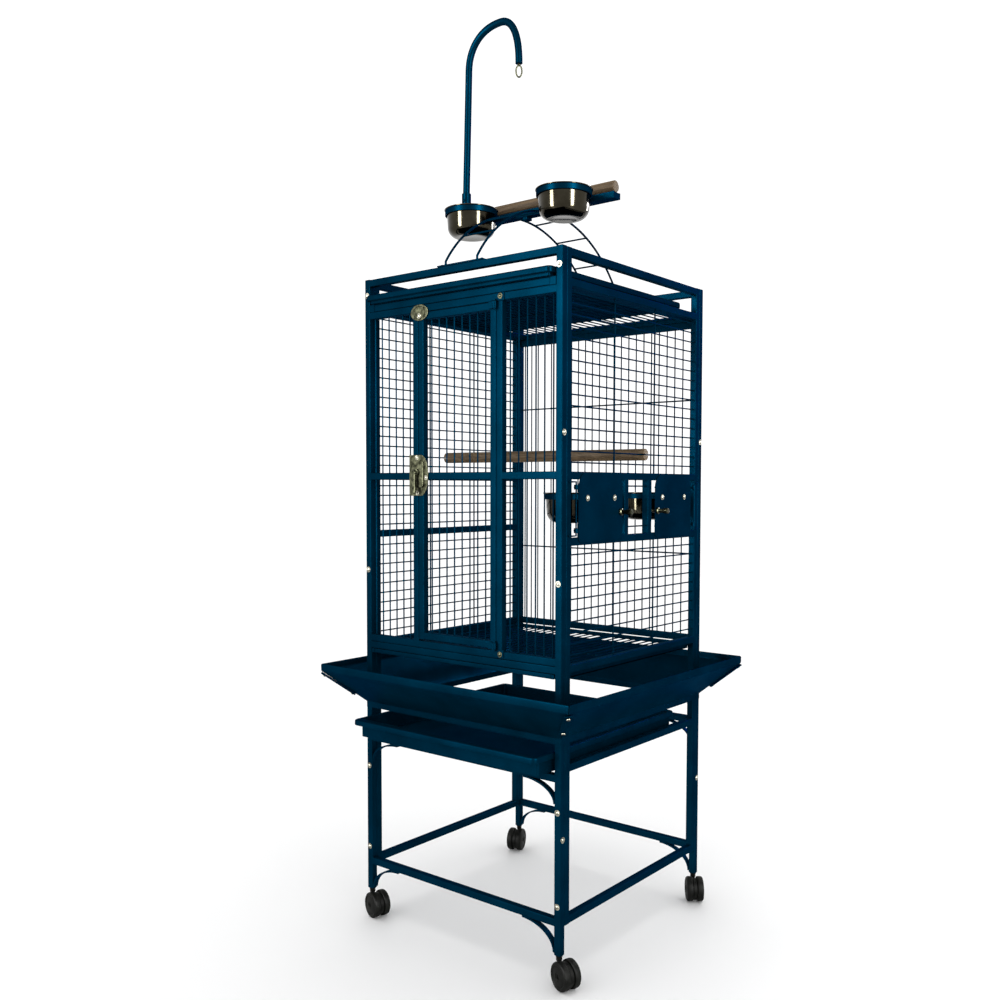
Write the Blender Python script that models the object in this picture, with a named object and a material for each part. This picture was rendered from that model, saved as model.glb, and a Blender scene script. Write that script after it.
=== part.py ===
"""Play-top bird cage on a castered stand, one named solid for each piece.

Units are metres, +Z is up, the main door faces -Y and the feeder doors face +X.
The origin is at floor level under the middle of the cage.
"""
import math

import bmesh
import bpy
from mathutils import Matrix, Vector

# ---------------------------------------------------------------- driving sizes
CAGE_WIDTH = 0.457        # X, outside of the posts
CAGE_DEPTH = 0.457        # Y, outside of the posts
TUBE = 0.0127             # square tube of every frame
WIRE = 0.0025             # grille wire
PITCH = 0.018             # grille wires, middle to middle, front, back, roof and floor
SIDE_PITCH = 0.0183       # horizontal wires of the side frames
FIRST_WIRE = 0.015        # first side wire, from the feeder belt
TOUCH = 0.0003            # gap between pieces that touch
SLIDE = 0.0006            # gap each side of a piece that slides

# Heights of the underside of each rail above the floor
Z_LEG = 0.049
Z_LOWER = 0.0962
Z_TRAY_FRONT = 0.334
Z_TRAY_SIDE = 0.3483
Z_BASE = 0.510
Z_BELT_LOW = 0.7173
Z_BELT_HIGH = 0.825
Z_PANEL_TOP = 1.1213
Z_SIDE_TOP = 1.1335
Z_RIM = 1.1813
BACK_BRACES = (0.682, 0.9825)
BELT_WINDOW = 0.032       # half of the fixed window between the feeder bays
WINDOW_WIRES = (0.7435, 0.8145)

# Main door
DOOR_WIRES = 8
DOOR_GAP = 0.0008         # at the sides and the top
DOOR_GAP_BOTTOM = 0.003
KNUCKLE_R = 0.0040
KNUCKLE_H = 0.012
PIN_R = 0.0020
PIN_CLEAR = 0.0004
HINGE_OUT = 0.0042        # hinge axis in front of the frame's face
LUG = 0.0024
LOCK_X = -0.0885
LOCK_Z = 0.8325
LOCK_W = 0.046
LOCK_H = 0.073
LOCK_T = 0.0048
BUTTON_W = 0.042
BUTTON_H = 0.029
BUTTON_X = -0.0856
BUTTON_RAISE = 0.0060     # button's middle above its screw
SHEET = 0.0015            # plates of the feeder doors, button and clips

# Feeder doors, bowls and perches
FEEDER_W = 0.130
FEEDER_SIDE = 0.0093      # plate's edge from the hinge axis
FEEDER_BOTTOM = 0.722
FEEDER_TOP = 0.8375
FEEDER_CORNER = 0.026
FEEDER_FOOT_CORNER = 0.008
FEEDER_HINGE_IN = 0.0095  # hinge axis from the edge of the bay
ROD_R = 0.0016
FEEDER_RODS = (0.742, 0.8125)
KNOB_Z = 0.770
KNOB_IN = 0.0158          # knob's shaft from the divider of the window
KNOB_OUT = 0.024
KNOB_R = 0.0030
TONGUE = 0.024            # latch tongue, hanging open below the knob
FEEDER_RING_Z = 0.801
BOWL_R = 0.0470
BOWL_H = 0.050
BOWL_WALL = 0.0010
RING_T = 0.0026
RING_H = 0.0095
RING_CLEAR = 0.0005
BOWL_RIM = 0.0018         # the rim laps over the ring
RING_SETBACK = 0.0075     # ring from the feeder plate
RING_STANDOFF = 0.0020    # ring from the perch bar, bridged by a tab
PERCH_R = 0.0105
PERCH_Y = (-0.0105, 0.0275) # left and right ends of the perch in the cage
SLOT_CLEAR = 0.0004

# Play top
ARCH_R = 0.5569 * CAGE_DEPTH
ARCH_Y = -0.0135
ARCH_RISE = 0.1231        # top of the wire's middle above the rim
ARCH_X = (-0.0252, 0.0472)
ARCH_WIRE_R = 0.0021
ARCH_BACK_Y = CAGE_DEPTH / 2 - 0.0245
ARCH_FRONT_Y = -CAGE_DEPTH / 2 + 0.0023
RUNG_ANGLES = (-41.0, -24.6, -8.2, 8.2, 24.6, 41.0)
FOOT_T = 0.0025
BAR_X = (-CAGE_WIDTH / 2 + 0.0345, CAGE_WIDTH / 2 - 0.0495)
BAR_Y = 0.0
BAR_W = 0.021
BAR_H = 0.0115
BAR_SEAT = 0.0060         # saddles that lift the bar off the arches
PLAY_PERCH_X = (-CAGE_WIDTH / 2 + 0.0685, CAGE_WIDTH / 2 - 0.0520)
PLAY_PERCH_R = 0.0105
PLAY_BOWL_X = (-CAGE_WIDTH / 2 + 0.1165, CAGE_WIDTH / 2 - 0.1205)
HOOK_X = -CAGE_WIDTH / 2 + 0.0475
HOOK_R = 0.0070
SOCKET_R = 0.0092
SOCKET_H = 0.060
SOCKET_CLEAR = 0.0004
HOOK_STRAIGHT_TOP = 1.630
HOOK_LEAN = 0.0065
HOOK_APEX = (HOOK_X + 0.0870, 1.7085)
HOOK_FULL = 0.87          # under 1, so that the bend is fuller than an ellipse
HOOK_END = (HOOK_X + 0.1345, 1.6185)
EYE_R = 0.0056
EYE_LONG = 0.0060
EYE_WIRE_R = 0.0011

# Trays, grate and guards
TRAY_HALF = CAGE_WIDTH / 2 - TUBE - 0.0083
TRAY_LIP = 0.0062
TRAY_FRONT_LIP = 0.0155
TRAY_BOTTOM_GAP = 0.0025
TRAY_H = 0.034
TRAY_FRONT_Y = -CAGE_DEPTH / 2 - 0.0335
TRAY_BACK_Y = CAGE_DEPTH / 2 - 0.0755
TRAY_HEM = 0.010
TRAY_SHEET = 0.0012
ROOF_TRAY_HALF = CAGE_WIDTH / 2 - TUBE - 0.0083
ROOF_TRAY_H = 0.0155
ROOF_TRAY_LIP = 0.0062
ROOF_TRAY_FRONT_Y = -CAGE_DEPTH / 2 - 0.0075
ROOF_TRAY_BACK_Y = CAGE_DEPTH / 2 - 0.0630
ROOF_TRAY_HEM = 0.0100
RUNNER = 0.0150
RUNNER_T = 0.0027
GRATE_BAR = 0.0075
GRATE_TOP = 0.5094
GRATE_BACK_Y = CAGE_DEPTH / 2 - 0.0165
GUARD_T = 0.0012
GUARD_OUT = 0.0614        # lip from the frame's face
GUARD_BOTTOM = 0.397
GUARD_BEND = 0.4085
GUARD_LIP = 0.0125
GUARD_TOP = 0.479
GUARD_MITRE = 0.0012
CLIP_W = 0.015

# Curved braces of the stand
STRAP_T = 0.0030
STRAP_W = 0.0110
LOW_BRACE = (0.068, 0.044)
HIGH_BRACE = (0.066, 0.036)

# Casters
CASTER_R = 0.0235
CASTER_TRAIL = 0.020
CASTER_GAP = 0.0045       # half of the space between the wheels
WHEEL_W = 0.0120
AXLE_R = 0.0030
AXLE_CLEAR = 0.0004
STEM_R = 0.0040
HOOD_R = 0.0205
CASTER_YAW = {"front_right": -20.0, "front_left": -15.0, "back_left": -69.0, "back_right": -52.0}

HALF_W = CAGE_WIDTH / 2
HALF_D = CAGE_DEPTH / 2
IN_W = HALF_W - TUBE      # inner face of the side frames
IN_D = HALF_D - TUBE      # inner face of the front and back frames
Z_TOP = Z_RIM + TUBE
Z_FLOOR_RAIL = Z_BASE + 2 * TUBE + TOUCH   # top of the front frame's sill
DOOR_HALF = (DOOR_WIRES / 2 + 0.5) * PITCH + TUBE / 2 + 0.0033
JAMB = DOOR_HALF + DOOR_GAP                # inner face of the door jambs

MATERIALS = {
    "powder_coat": ((0.005, 0.045, 0.085, 1.0), 0.42, 0.25),
    "stainless": ((0.62, 0.60, 0.57, 1.0), 0.18, 1.0),
    "zinc": ((0.55, 0.52, 0.45, 1.0), 0.32, 1.0),
    "wood": ((0.42, 0.26, 0.13, 1.0), 0.65, 0.0),
    "black_plastic": ((0.02, 0.02, 0.018, 1.0), 0.5, 0.0),
}


# ---------------------------------------------------------------- scene helpers
def clear_scene():
    for obj in list(bpy.data.objects):
        bpy.data.objects.remove(obj, do_unlink=True)


def make_material(name):
    colour, roughness, metallic = MATERIALS[name]
    material = bpy.data.materials.new(name)
    material.use_nodes = True
    shader = material.node_tree.nodes["Principled BSDF"]
    shader.inputs["Base Color"].default_value = colour
    shader.inputs["Roughness"].default_value = roughness
    shader.inputs["Metallic"].default_value = metallic
    return material


def mesh_object(name, mesh):
    obj = bpy.data.objects.new(name, mesh)
    CAGE.objects.link(obj)
    return obj


def tidy(bm):
    bmesh.ops.remove_doubles(bm, verts=bm.verts, dist=1e-6)
    bmesh.ops.dissolve_degenerate(bm, edges=bm.edges, dist=1e-7)
    bmesh.ops.recalc_face_normals(bm, faces=bm.faces)


def from_bmesh(bm, name="piece"):
    tidy(bm)
    mesh = bpy.data.meshes.new(name)
    bm.to_mesh(mesh)
    bm.free()
    return mesh_object(name, mesh)


def evaluated_mesh(obj):
    bpy.context.view_layer.update()
    graph = bpy.context.evaluated_depsgraph_get()
    return bpy.data.meshes.new_from_object(obj.evaluated_get(graph))


def as_mesh(obj):
    """The curve or modified mesh as a plain welded mesh in world space."""
    mesh = evaluated_mesh(obj)
    matrix = obj.matrix_world.copy()
    bpy.data.objects.remove(obj, do_unlink=True)
    bm = bmesh.new()
    bm.from_mesh(mesh)
    bmesh.ops.transform(bm, matrix=matrix, verts=bm.verts)
    return from_bmesh(bm)


# ---------------------------------------------------------------- basic shapes
def box(x0, x1, y0, y1, z0, z1):
    bm = bmesh.new()
    bmesh.ops.create_cube(bm, size=1.0)
    bmesh.ops.scale(bm, vec=(x1 - x0, y1 - y0, z1 - z0), verts=bm.verts)
    bmesh.ops.translate(bm, vec=((x0 + x1) / 2, (y0 + y1) / 2, (z0 + z1) / 2), verts=bm.verts)
    return from_bmesh(bm)


def rod(start, end, radius, sides=8):
    start, end = Vector(start), Vector(end)
    along = end - start
    turn = along.to_track_quat("Z", "Y").to_matrix().to_4x4()
    bm = bmesh.new()
    bmesh.ops.create_cone(bm, cap_ends=True, segments=sides, radius1=radius, radius2=radius,
                          depth=along.length, matrix=Matrix.Translation((start + end) / 2) @ turn)
    return from_bmesh(bm)


def bent_wire(points, radius, sides=6):
    """A wire along the points, with flat closed ends."""
    curve = bpy.data.curves.new("wire", "CURVE")
    curve.dimensions = "3D"
    curve.bevel_depth = radius
    curve.bevel_resolution = (sides - 4) // 2
    curve.use_fill_caps = True
    spline = curve.splines.new("POLY")
    spline.points.add(len(points) - 1)
    for point, place in zip(spline.points, points):
        point.co = (*place, 1.0)
    return as_mesh(mesh_object("wire", curve))


PLANES = {
    "front": Matrix(((1, 0, 0, 0), (0, 0, 1, 0), (0, 1, 0, 0), (0, 0, 0, 1))),  # u, v -> X, Z
    "side": Matrix(((0, 0, 1, 0), (1, 0, 0, 0), (0, 1, 0, 0), (0, 0, 0, 1))),   # u, v -> Y, Z
    "flat": Matrix.Identity(4),                                                 # u, v -> X, Y
}


def plate(outline, holes, low, high, plane):
    """A flat sheet with holes, between the two distances along the plane's normal."""
    curve = bpy.data.curves.new("plate", "CURVE")
    curve.dimensions = "2D"
    curve.fill_mode = "BOTH"
    curve.extrude = (high - low) / 2
    for loop in [outline, *holes]:
        spline = curve.splines.new("POLY")
        spline.points.add(len(loop) - 1)
        for point, (u, v) in zip(spline.points, loop):
            point.co = (u, v, 0.0, 1.0)
        spline.use_cyclic_u = True
    obj = mesh_object("plate", curve)
    obj.matrix_world = PLANES[plane] @ Matrix.Translation((0, 0, (low + high) / 2))
    return as_mesh(obj)


def rectangle(u0, u1, v0, v1):
    return [(u0, v0), (u1, v0), (u1, v1), (u0, v1)]


def circle(u, v, radius, sides=16, stretch=1.0):
    return [(u + radius * stretch * math.cos(2 * math.pi * i / sides),
             v + radius * math.sin(2 * math.pi * i / sides)) for i in range(sides)]


def turned(profile, centre, sides=20):
    """A turned shape from its closed profile of (radius, height) points."""
    bm = bmesh.new()
    rings = []
    for radius, height in profile:
        if radius < 1e-6:
            rings.append([bm.verts.new((0, 0, height))])
        else:
            rings.append([bm.verts.new((radius * math.cos(2 * math.pi * i / sides),
                                        radius * math.sin(2 * math.pi * i / sides), height))
                          for i in range(sides)])
    closed = profile[0][0] > 1e-6
    pairs = list(zip(rings, rings[1:] + rings[:1])) if closed else list(zip(rings, rings[1:]))
    for low, high in pairs:
        for i in range(sides):
            j = (i + 1) % sides
            corners = [low[i % len(low)], low[j % len(low)], high[j % len(high)], high[i % len(high)]]
            loop = list(dict.fromkeys(corners))
            if len(loop) > 2:
                bm.faces.new(loop)
    bmesh.ops.translate(bm, vec=centre, verts=bm.verts)
    return from_bmesh(bm)


def combine(parts, operation="UNION"):
    """The first part joined with, or cut by, all the others."""
    base, others = parts[0], parts[1:]
    if not others:
        return base
    group = bpy.data.collections.new("operands")
    for other in others:
        group.objects.link(other)
    modifier = base.modifiers.new("Combine", "BOOLEAN")
    modifier.operation = operation
    modifier.operand_type = "COLLECTION"
    modifier.collection = group
    modifier.solver = "EXACT"
    result = as_mesh(base)
    for other in others:
        bpy.data.objects.remove(other, do_unlink=True)
    bpy.data.collections.remove(group)
    return result


def node(name, obj, material, origin=(0.0, 0.0, 0.0)):
    """Names the finished piece and puts its origin where it turns or slides."""
    obj.name = name
    obj.data.name = name
    obj.data.transform(Matrix.Translation(-Vector(origin)))
    obj.location = origin
    obj.data.materials.clear()
    obj.data.materials.append(PAINT[material])
    obj.data.shade_smooth()
    obj.data.set_sharp_from_angle(angle=math.radians(40))
    return obj


def moved(obj, matrix):
    obj.data.transform(matrix)
    if matrix.determinant() < 0:
        obj.data.flip_normals()
    return obj


# ---------------------------------------------------------------- grille layout
def wire_places(half, pitch=PITCH, low=0.0):
    """Places of an even row of wires about the middle, from low to half."""
    places = [(i + 0.5) * pitch for i in range(int(half / pitch + 0.5)) if (i + 0.5) * pitch < half - WIRE]
    places = [place for place in places if place > low + WIRE]
    return sorted([-place for place in places] + places)


def gaps(low, high, places, wire=WIRE):
    """The open spans that are left between low and high by wires at the places."""
    inside = [place for place in places if low + wire < place < high - wire]
    starts = [low] + [place + wire / 2 for place in inside]
    ends = [place - wire / 2 for place in inside] + [high]
    return list(zip(starts, ends))


def grille(columns, rows, frame, low, high, plane):
    """A grille: its openings are the crossings of the columns and rows."""
    holes = [rectangle(u0, u1, v0, v1) for u0, u1 in columns for v0, v1 in rows]
    return plate(rectangle(*frame), holes, low, high, plane)


BITE = 0.0035             # how far a grille reaches into the tubes around it


def frame_grille(u0, u1, v0, v1, u_wires, v_wires, middle, plane, thick=WIRE):
    """A grille that fills an opening of a frame and is welded into its tubes."""
    reach = BITE
    columns = gaps(u0, u1, u_wires)
    rows = gaps(v0, v1, v_wires)
    columns = [(columns[0][0] - reach / 2, columns[0][1]), *columns[1:]] if len(columns) > 1 else [(u0 - reach / 2, u1)]
    columns[-1] = (columns[-1][0], columns[-1][1] + reach / 2)
    rows = [(rows[0][0] - reach / 2, rows[0][1]), *rows[1:]] if len(rows) > 1 else [(v0 - reach / 2, v1)]
    rows[-1] = (rows[-1][0], rows[-1][1] + reach / 2)
    return grille(columns, rows, (u0 - reach, u1 + reach, v0 - reach, v1 + reach),
                  middle - thick / 2, middle + thick / 2, plane)


# ---------------------------------------------------------------- frames
def legged_outline():
    """Front and back frames: full height posts that end as legs."""
    return [(-HALF_W, Z_LEG), (-IN_W, Z_LEG), (-IN_W, Z_LOWER), (IN_W, Z_LOWER), (IN_W, Z_LEG),
            (HALF_W, Z_LEG), (HALF_W, Z_TOP), (-HALF_W, Z_TOP)]


def build_front_frame():
    strip = (JAMB + TUBE, IN_W)
    holes = [
        rectangle(-IN_W, IN_W, Z_LOWER + TUBE, Z_TRAY_FRONT),
        rectangle(-IN_W, IN_W, Z_TRAY_FRONT + TUBE, Z_BASE),
        rectangle(-JAMB, JAMB, Z_FLOOR_RAIL, Z_PANEL_TOP),
        rectangle(-IN_W, IN_W, Z_PANEL_TOP + TUBE, Z_RIM),
    ]
    for z0, z1 in ((Z_FLOOR_RAIL, Z_BELT_HIGH), (Z_BELT_HIGH + TUBE, Z_PANEL_TOP)):
        holes.append(rectangle(strip[0], strip[1], z0, z1))
        holes.append(rectangle(-strip[1], -strip[0], z0, z1))
    parts = [plate(legged_outline(), holes, -HALF_D, -IN_D, "front")]
    middle = -(HALF_D + IN_D) / 2
    wires = wire_places(IN_W, low=JAMB + TUBE)
    for low, high in ((strip[0], strip[1]), (-strip[1], -strip[0])):
        inside = [x for x in wires if low < x < high]
        parts.append(frame_grille(low, high, Z_FLOOR_RAIL, Z_PANEL_TOP, inside, [], middle, "front"))
    node("front_frame", combine(parts), "powder_coat")


def build_back_frame():
    holes = [
        rectangle(-IN_W, IN_W, Z_LOWER + TUBE, Z_TRAY_SIDE),
        rectangle(-IN_W, IN_W, Z_TRAY_SIDE + TUBE, Z_BASE),
        rectangle(-IN_W, IN_W, Z_BASE + TUBE, Z_PANEL_TOP),
        rectangle(-IN_W, IN_W, Z_PANEL_TOP + TUBE, Z_RIM),
    ]
    parts = [plate(legged_outline(), holes, IN_D, HALF_D, "front"),
             frame_grille(-IN_W, IN_W, Z_BASE + TUBE, Z_PANEL_TOP, wire_places(IN_W), BACK_BRACES,
                          (IN_D + HALF_D) / 2, "front")]
    node("back_frame", combine(parts), "powder_coat")


def side_wires(z0, z1, from_low):
    """Horizontal wires of a side frame, counted away from the feeder belt."""
    places = []
    step = 0
    while FIRST_WIRE + step * SIDE_PITCH < z1 - z0 - WIRE:
        reach = FIRST_WIRE + step * SIDE_PITCH
        places.append(z0 + reach if from_low else z1 - reach)
        step += 1
    return sorted(places)


UPPER_WIRES = side_wires(Z_BELT_HIGH + TUBE, Z_SIDE_TOP, True)
LOWER_WIRES = side_wires(Z_BASE + TUBE, Z_BELT_LOW, False)
PERCH_Z = UPPER_WIRES[1]  # the perch's slots sit on this wire


def build_side_frame(name, side):
    """side is +1 for the right frame, with the feeder bays, and -1 for the left."""
    end = IN_D - TOUCH
    inner = end - TUBE
    outline = rectangle(-end, end, Z_LOWER, Z_TOP)
    levels = [(Z_LOWER, Z_TRAY_SIDE), (Z_TRAY_SIDE, Z_BASE), (Z_BASE, Z_BELT_LOW),
              (Z_BELT_HIGH, Z_SIDE_TOP), (Z_SIDE_TOP, Z_RIM)]
    holes = [rectangle(-inner, inner, low + TUBE, high) for low, high in levels]
    belt = (Z_BELT_LOW + TUBE, Z_BELT_HIGH)
    middle = (IN_W + HALF_W) / 2
    parts = []
    if side > 0:
        divider = BELT_WINDOW + TUBE
        holes += [rectangle(-inner, -divider, *belt), rectangle(-BELT_WINDOW, BELT_WINDOW, *belt),
                  rectangle(divider, inner, *belt)]
        parts.append(frame_grille(-BELT_WINDOW, BELT_WINDOW, *belt, [], WINDOW_WIRES, middle, "side"))
    else:
        holes.append(rectangle(-inner, inner, *belt))
        centre = sum(belt) / 2
        rows = [centre + i * SIDE_PITCH for i in range(-2, 3)]
        parts.append(frame_grille(-inner, inner, *belt, [], rows, middle, "side"))
    parts.insert(0, plate(outline, holes, IN_W, HALF_W, "side"))
    parts.append(frame_grille(-inner, inner, Z_BELT_HIGH + TUBE, Z_SIDE_TOP, [], UPPER_WIRES, middle, "side"))
    parts.append(frame_grille(-inner, inner, Z_BASE + TUBE, Z_BELT_LOW, [], LOWER_WIRES, middle, "side"))
    # angles that carry the waste tray and the floor grate
    run = inner
    for top, into in ((TRAY_RUN, Z_TRAY_SIDE + TUBE / 2), (GRATE_RUN, Z_BASE + TUBE / 2)):
        profile = [(IN_W - RUNNER, top - RUNNER_T), (IN_W + 0.003, top - RUNNER_T), (IN_W + 0.003, into),
                   (IN_W - 0.0012, into), (IN_W - 0.0012, top), (IN_W - RUNNER, top)]
        parts.append(plate(profile, [], -run, run, "front"))
    obj = combine(parts)
    if side < 0:
        moved(obj, Matrix.Scale(-1, 4, Vector((1, 0, 0))))
    node(name, obj, "powder_coat")


TRAY_RUN = Z_TRAY_FRONT + TUBE + TRAY_BOTTOM_GAP - TOUCH
GRATE_RUN = GRATE_TOP - GRATE_BAR - TOUCH


# ---------------------------------------------------------------- roof, floor and trays
def pan(half, front, back, bottom, height, lip, front_lip, hem, sheet):
    """A folded sheet tray with a lip all round, and a hem down its edge."""
    top = bottom + height

    def ring(x, y0, y1, z):
        return [bm.verts.new(place) for place in ((-x, y0, z), (x, y0, z), (x, y1, z), (-x, y1, z))]

    bm = bmesh.new()
    s = sheet
    outside = [ring(half, front, back, bottom),
               ring(half, front, back, top - s),
               ring(half + lip - s, front - front_lip + s, back + lip - s, top - s),
               ring(half + lip - s, front - front_lip + s, back + lip - s, top - hem),
               ring(half + lip, front - front_lip, back + lip, top - hem),
               ring(half + lip, front - front_lip, back + lip, top),
               ring(half - s, front + s, back - s, top),
               ring(half - s, front + s, back - s, bottom + s)]
    bm.faces.new(outside[0])
    bm.faces.new(outside[-1])
    for low, high in zip(outside, outside[1:]):
        for i in range(4):
            j = (i + 1) % 4
            bm.faces.new((low[i], low[j], high[j], high[i]))
    return from_bmesh(bm)


def build_roof():
    x = IN_W - SLIDE
    low = Z_PANEL_TOP + TUBE + TOUCH
    frame = plate(rectangle(-x, x, -HALF_D, HALF_D), [rectangle(-x + TUBE, x - TUBE, -IN_D, IN_D)],
                  low, low + TUBE, "flat")
    bars = frame_grille(-x + TUBE, x - TUBE, -IN_D, IN_D, wire_places(x - TUBE), (0.0,),
                        low + TUBE / 2, "flat")
    node("roof_grille", combine([frame, bars]), "powder_coat")
    bottom = low + TUBE + TOUCH
    node("roof_tray",
         pan(ROOF_TRAY_HALF, ROOF_TRAY_FRONT_Y, ROOF_TRAY_BACK_Y, bottom, ROOF_TRAY_H, ROOF_TRAY_LIP,
             ROOF_TRAY_LIP, ROOF_TRAY_HEM, TRAY_SHEET),
         "powder_coat", (0.0, ROOF_TRAY_FRONT_Y, bottom))


def build_floor():
    x = IN_W - 0.0012 - SLIDE
    bar = GRATE_BAR
    low = GRATE_TOP - bar
    frame = plate(rectangle(-x, x, -HALF_D, GRATE_BACK_Y),
                  [rectangle(-x + bar, x - bar, -HALF_D + bar, GRATE_BACK_Y - bar)], low, GRATE_TOP, "flat")
    bars = frame_grille(-x + bar, x - bar, -HALF_D + bar, GRATE_BACK_Y - bar, wire_places(x - bar), (0.0,),
                        low + bar / 2, "flat")
    node("floor_grate", combine([frame, bars]), "powder_coat", (0.0, -HALF_D, low))
    bottom = Z_TRAY_FRONT + TUBE + TRAY_BOTTOM_GAP
    node("waste_tray",
         pan(TRAY_HALF, TRAY_FRONT_Y, TRAY_BACK_Y, bottom, TRAY_H, TRAY_LIP, TRAY_FRONT_LIP, TRAY_HEM, TRAY_SHEET),
         "powder_coat", (0.0, TRAY_FRONT_Y, bottom))


# ---------------------------------------------------------------- seed guards
def guard_profile():
    """(outward, height) points of the guard's lower surface, from the flange to the lip."""
    bend_out = TOUCH + GUARD_T
    slope = (GUARD_TOP - GUARD_LIP - GUARD_BEND)
    return [(TOUCH + GUARD_T, GUARD_BOTTOM), (bend_out, GUARD_BEND),
            (bend_out + GUARD_OUT - GUARD_T, GUARD_BEND + slope),
            (bend_out + GUARD_OUT - GUARD_T, GUARD_TOP)]


def build_guard(name, angle):
    """One folded sheet along one side: a flange, a slope and an upright lip, mitred at both ends."""
    t = GUARD_T
    out = guard_profile()
    thin = t * math.tan(math.pi / 8)
    inn = [(out[0][0] - t, out[0][1]), (out[1][0] - t, out[1][1] + thin), (out[2][0] - t, out[2][1] + thin),
           (out[3][0] - t, out[3][1])]
    profile = out + inn[::-1]
    side, face = (HALF_W, HALF_D) if angle % 180 == 0 else (HALF_D, HALF_W)
    bm = bmesh.new()
    ends = []
    for sign in (-1, 1):
        ends.append([bm.verts.new((sign * (side + max(d, 0) - GUARD_MITRE), -face - d, z)) for d, z in profile])
    bm.faces.new(ends[0])
    bm.faces.new(ends[1])
    for i in range(len(profile)):
        j = (i + 1) % len(profile)
        bm.faces.new((ends[0][i], ends[0][j], ends[1][j], ends[1][i]))
    obj = from_bmesh(bm)
    node(name, moved(obj, Matrix.Rotation(math.radians(angle), 4, "Z")), "powder_coat")


def build_guard_clip(name, sx, sy):
    """A flat strap under the mitre of two guards."""
    profile = guard_profile()
    low, high = profile[1], profile[2]
    corner = Vector((HALF_W, HALF_D, 0))
    a = corner + Vector((low[0], low[0], low[1]))
    b = corner + Vector((high[0], high[0], high[1]))
    along = (b - a).normalized()
    down = Vector((1, 1, -2)).normalized()
    across = along.cross(down)
    start = a + along * 0.022
    finish = b - along * 0.004
    bm = bmesh.new()
    bmesh.ops.create_cube(bm, size=1.0)
    bmesh.ops.scale(bm, vec=((finish - start).length, CLIP_W, SHEET), verts=bm.verts)
    turn = Matrix((along, across, down)).transposed().to_4x4()
    middle = (start + finish) / 2 + down * (SHEET / 2 + 0.0006)
    bmesh.ops.transform(bm, matrix=Matrix.Translation(middle) @ turn, verts=bm.verts)
    bmesh.ops.scale(bm, vec=(sx, sy, 1), verts=bm.verts)
    node(name, from_bmesh(bm), "powder_coat")


# ---------------------------------------------------------------- curved braces
def strap(centre_u, centre_v, radius_u, radius_v, quarter, y0, y1):
    """A quarter-ellipse strap in a front or back frame, as a solid plate."""
    steps = 6
    turns = [math.radians(quarter + 90 * i / steps) for i in range(steps + 1)]
    outer = [(centre_u + radius_u * math.cos(a), centre_v + radius_v * math.sin(a)) for a in turns]
    inner = [(centre_u + (radius_u - STRAP_T) * math.cos(a), centre_v + (radius_v - STRAP_T) * math.sin(a)) for a in turns]
    return plate(outer + inner[::-1], [], y0, y1, "front")


def build_braces():
    edge = TUBE / 2
    for face, y in (("front", -HALF_D + edge), ("back", HALF_D - edge)):
        rail = Z_TRAY_FRONT if face == "front" else Z_TRAY_SIDE
        for side, sign in (("left", -1), ("right", 1)):
            for level, top, (run, drop) in (("upper", rail, HIGH_BRACE), ("lower", Z_LOWER, LOW_BRACE)):
                u = sign * (IN_W - TOUCH - run)
                piece = strap(u, top - TOUCH - drop, run, drop, 0 if sign > 0 else 90, y - STRAP_W / 2, y + STRAP_W / 2)
                node(f"brace_{face}_{side}_{level}", piece, "powder_coat")


# ---------------------------------------------------------------- main door
HINGE_X = JAMB - 0.0004
HINGE_Y = -HALF_D - HINGE_OUT
DOOR_LOW = Z_FLOOR_RAIL + DOOR_GAP_BOTTOM
DOOR_HIGH = Z_PANEL_TOP - DOOR_GAP


def build_main_door():
    inner = DOOR_HALF - TUBE
    middle = -(HALF_D + IN_D) / 2
    rows = ((DOOR_LOW + TUBE, Z_BELT_HIGH), (Z_BELT_HIGH + TUBE, DOOR_HIGH - TUBE))
    frame = plate(rectangle(-DOOR_HALF, DOOR_HALF, DOOR_LOW, DOOR_HIGH),
                  [rectangle(-inner, inner, *row) for row in rows], -HALF_D, -IN_D, "front")
    wires = wire_places(inner)
    bars = frame_grille(-inner, inner, rows[0][0], rows[1][1], wires, [], middle, "front")
    parts = [frame, bars]
    for z0, _ in knuckles():
        z1 = z0 + KNUCKLE_H
        parts.append(plate(circle(HINGE_X, HINGE_Y, KNUCKLE_R, 12), [], z0, z1, "flat"))
        parts.append(box(HINGE_X - 0.0120, HINGE_X - 0.0010, HINGE_Y - 0.0015, -HALF_D + 0.002, z0, z1))
    door = combine(parts)
    bores = [rod((HINGE_X, HINGE_Y, z0 - 0.01), (HINGE_X, HINGE_Y, z0 + KNUCKLE_H + 0.01), PIN_R + PIN_CLEAR, 10)
             for z0, _ in knuckles()]
    node("main_door", combine([door, *bores], "DIFFERENCE"), "powder_coat", (HINGE_X, HINGE_Y, DOOR_LOW))


def knuckles():
    """Height of each door knuckle, and the side that its frame lug is on."""
    return ((DOOR_LOW, -1), (DOOR_HIGH - KNUCKLE_H, 1))


def build_hinges():
    for (z0, side), name in zip(knuckles(), ("lower", "upper")):
        low = z0 - 0.0004 - LUG - 0.010 if side < 0 else z0 + KNUCKLE_H + 0.0004
        high = low + LUG + 0.010
        lug_low = high - LUG if side < 0 else low
        leaf = box(HINGE_X - 0.006, HINGE_X + 0.018, -HALF_D - TOUCH - 0.0015, -HALF_D - TOUCH, low, high)
        lug = box(HINGE_X - 0.004, HINGE_X + 0.004, HINGE_Y - 0.004, -HALF_D - TOUCH - 0.0005, lug_low, lug_low + LUG)
        tip = z0 + (KNUCKLE_H + 0.002 if side < 0 else -0.002)
        pin = rod((HINGE_X, HINGE_Y, lug_low + LUG / 2), (HINGE_X, HINGE_Y, tip), PIN_R, 10)
        node(f"door_hinge_{name}", combine([leaf, lug, pin]), "zinc")


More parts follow.
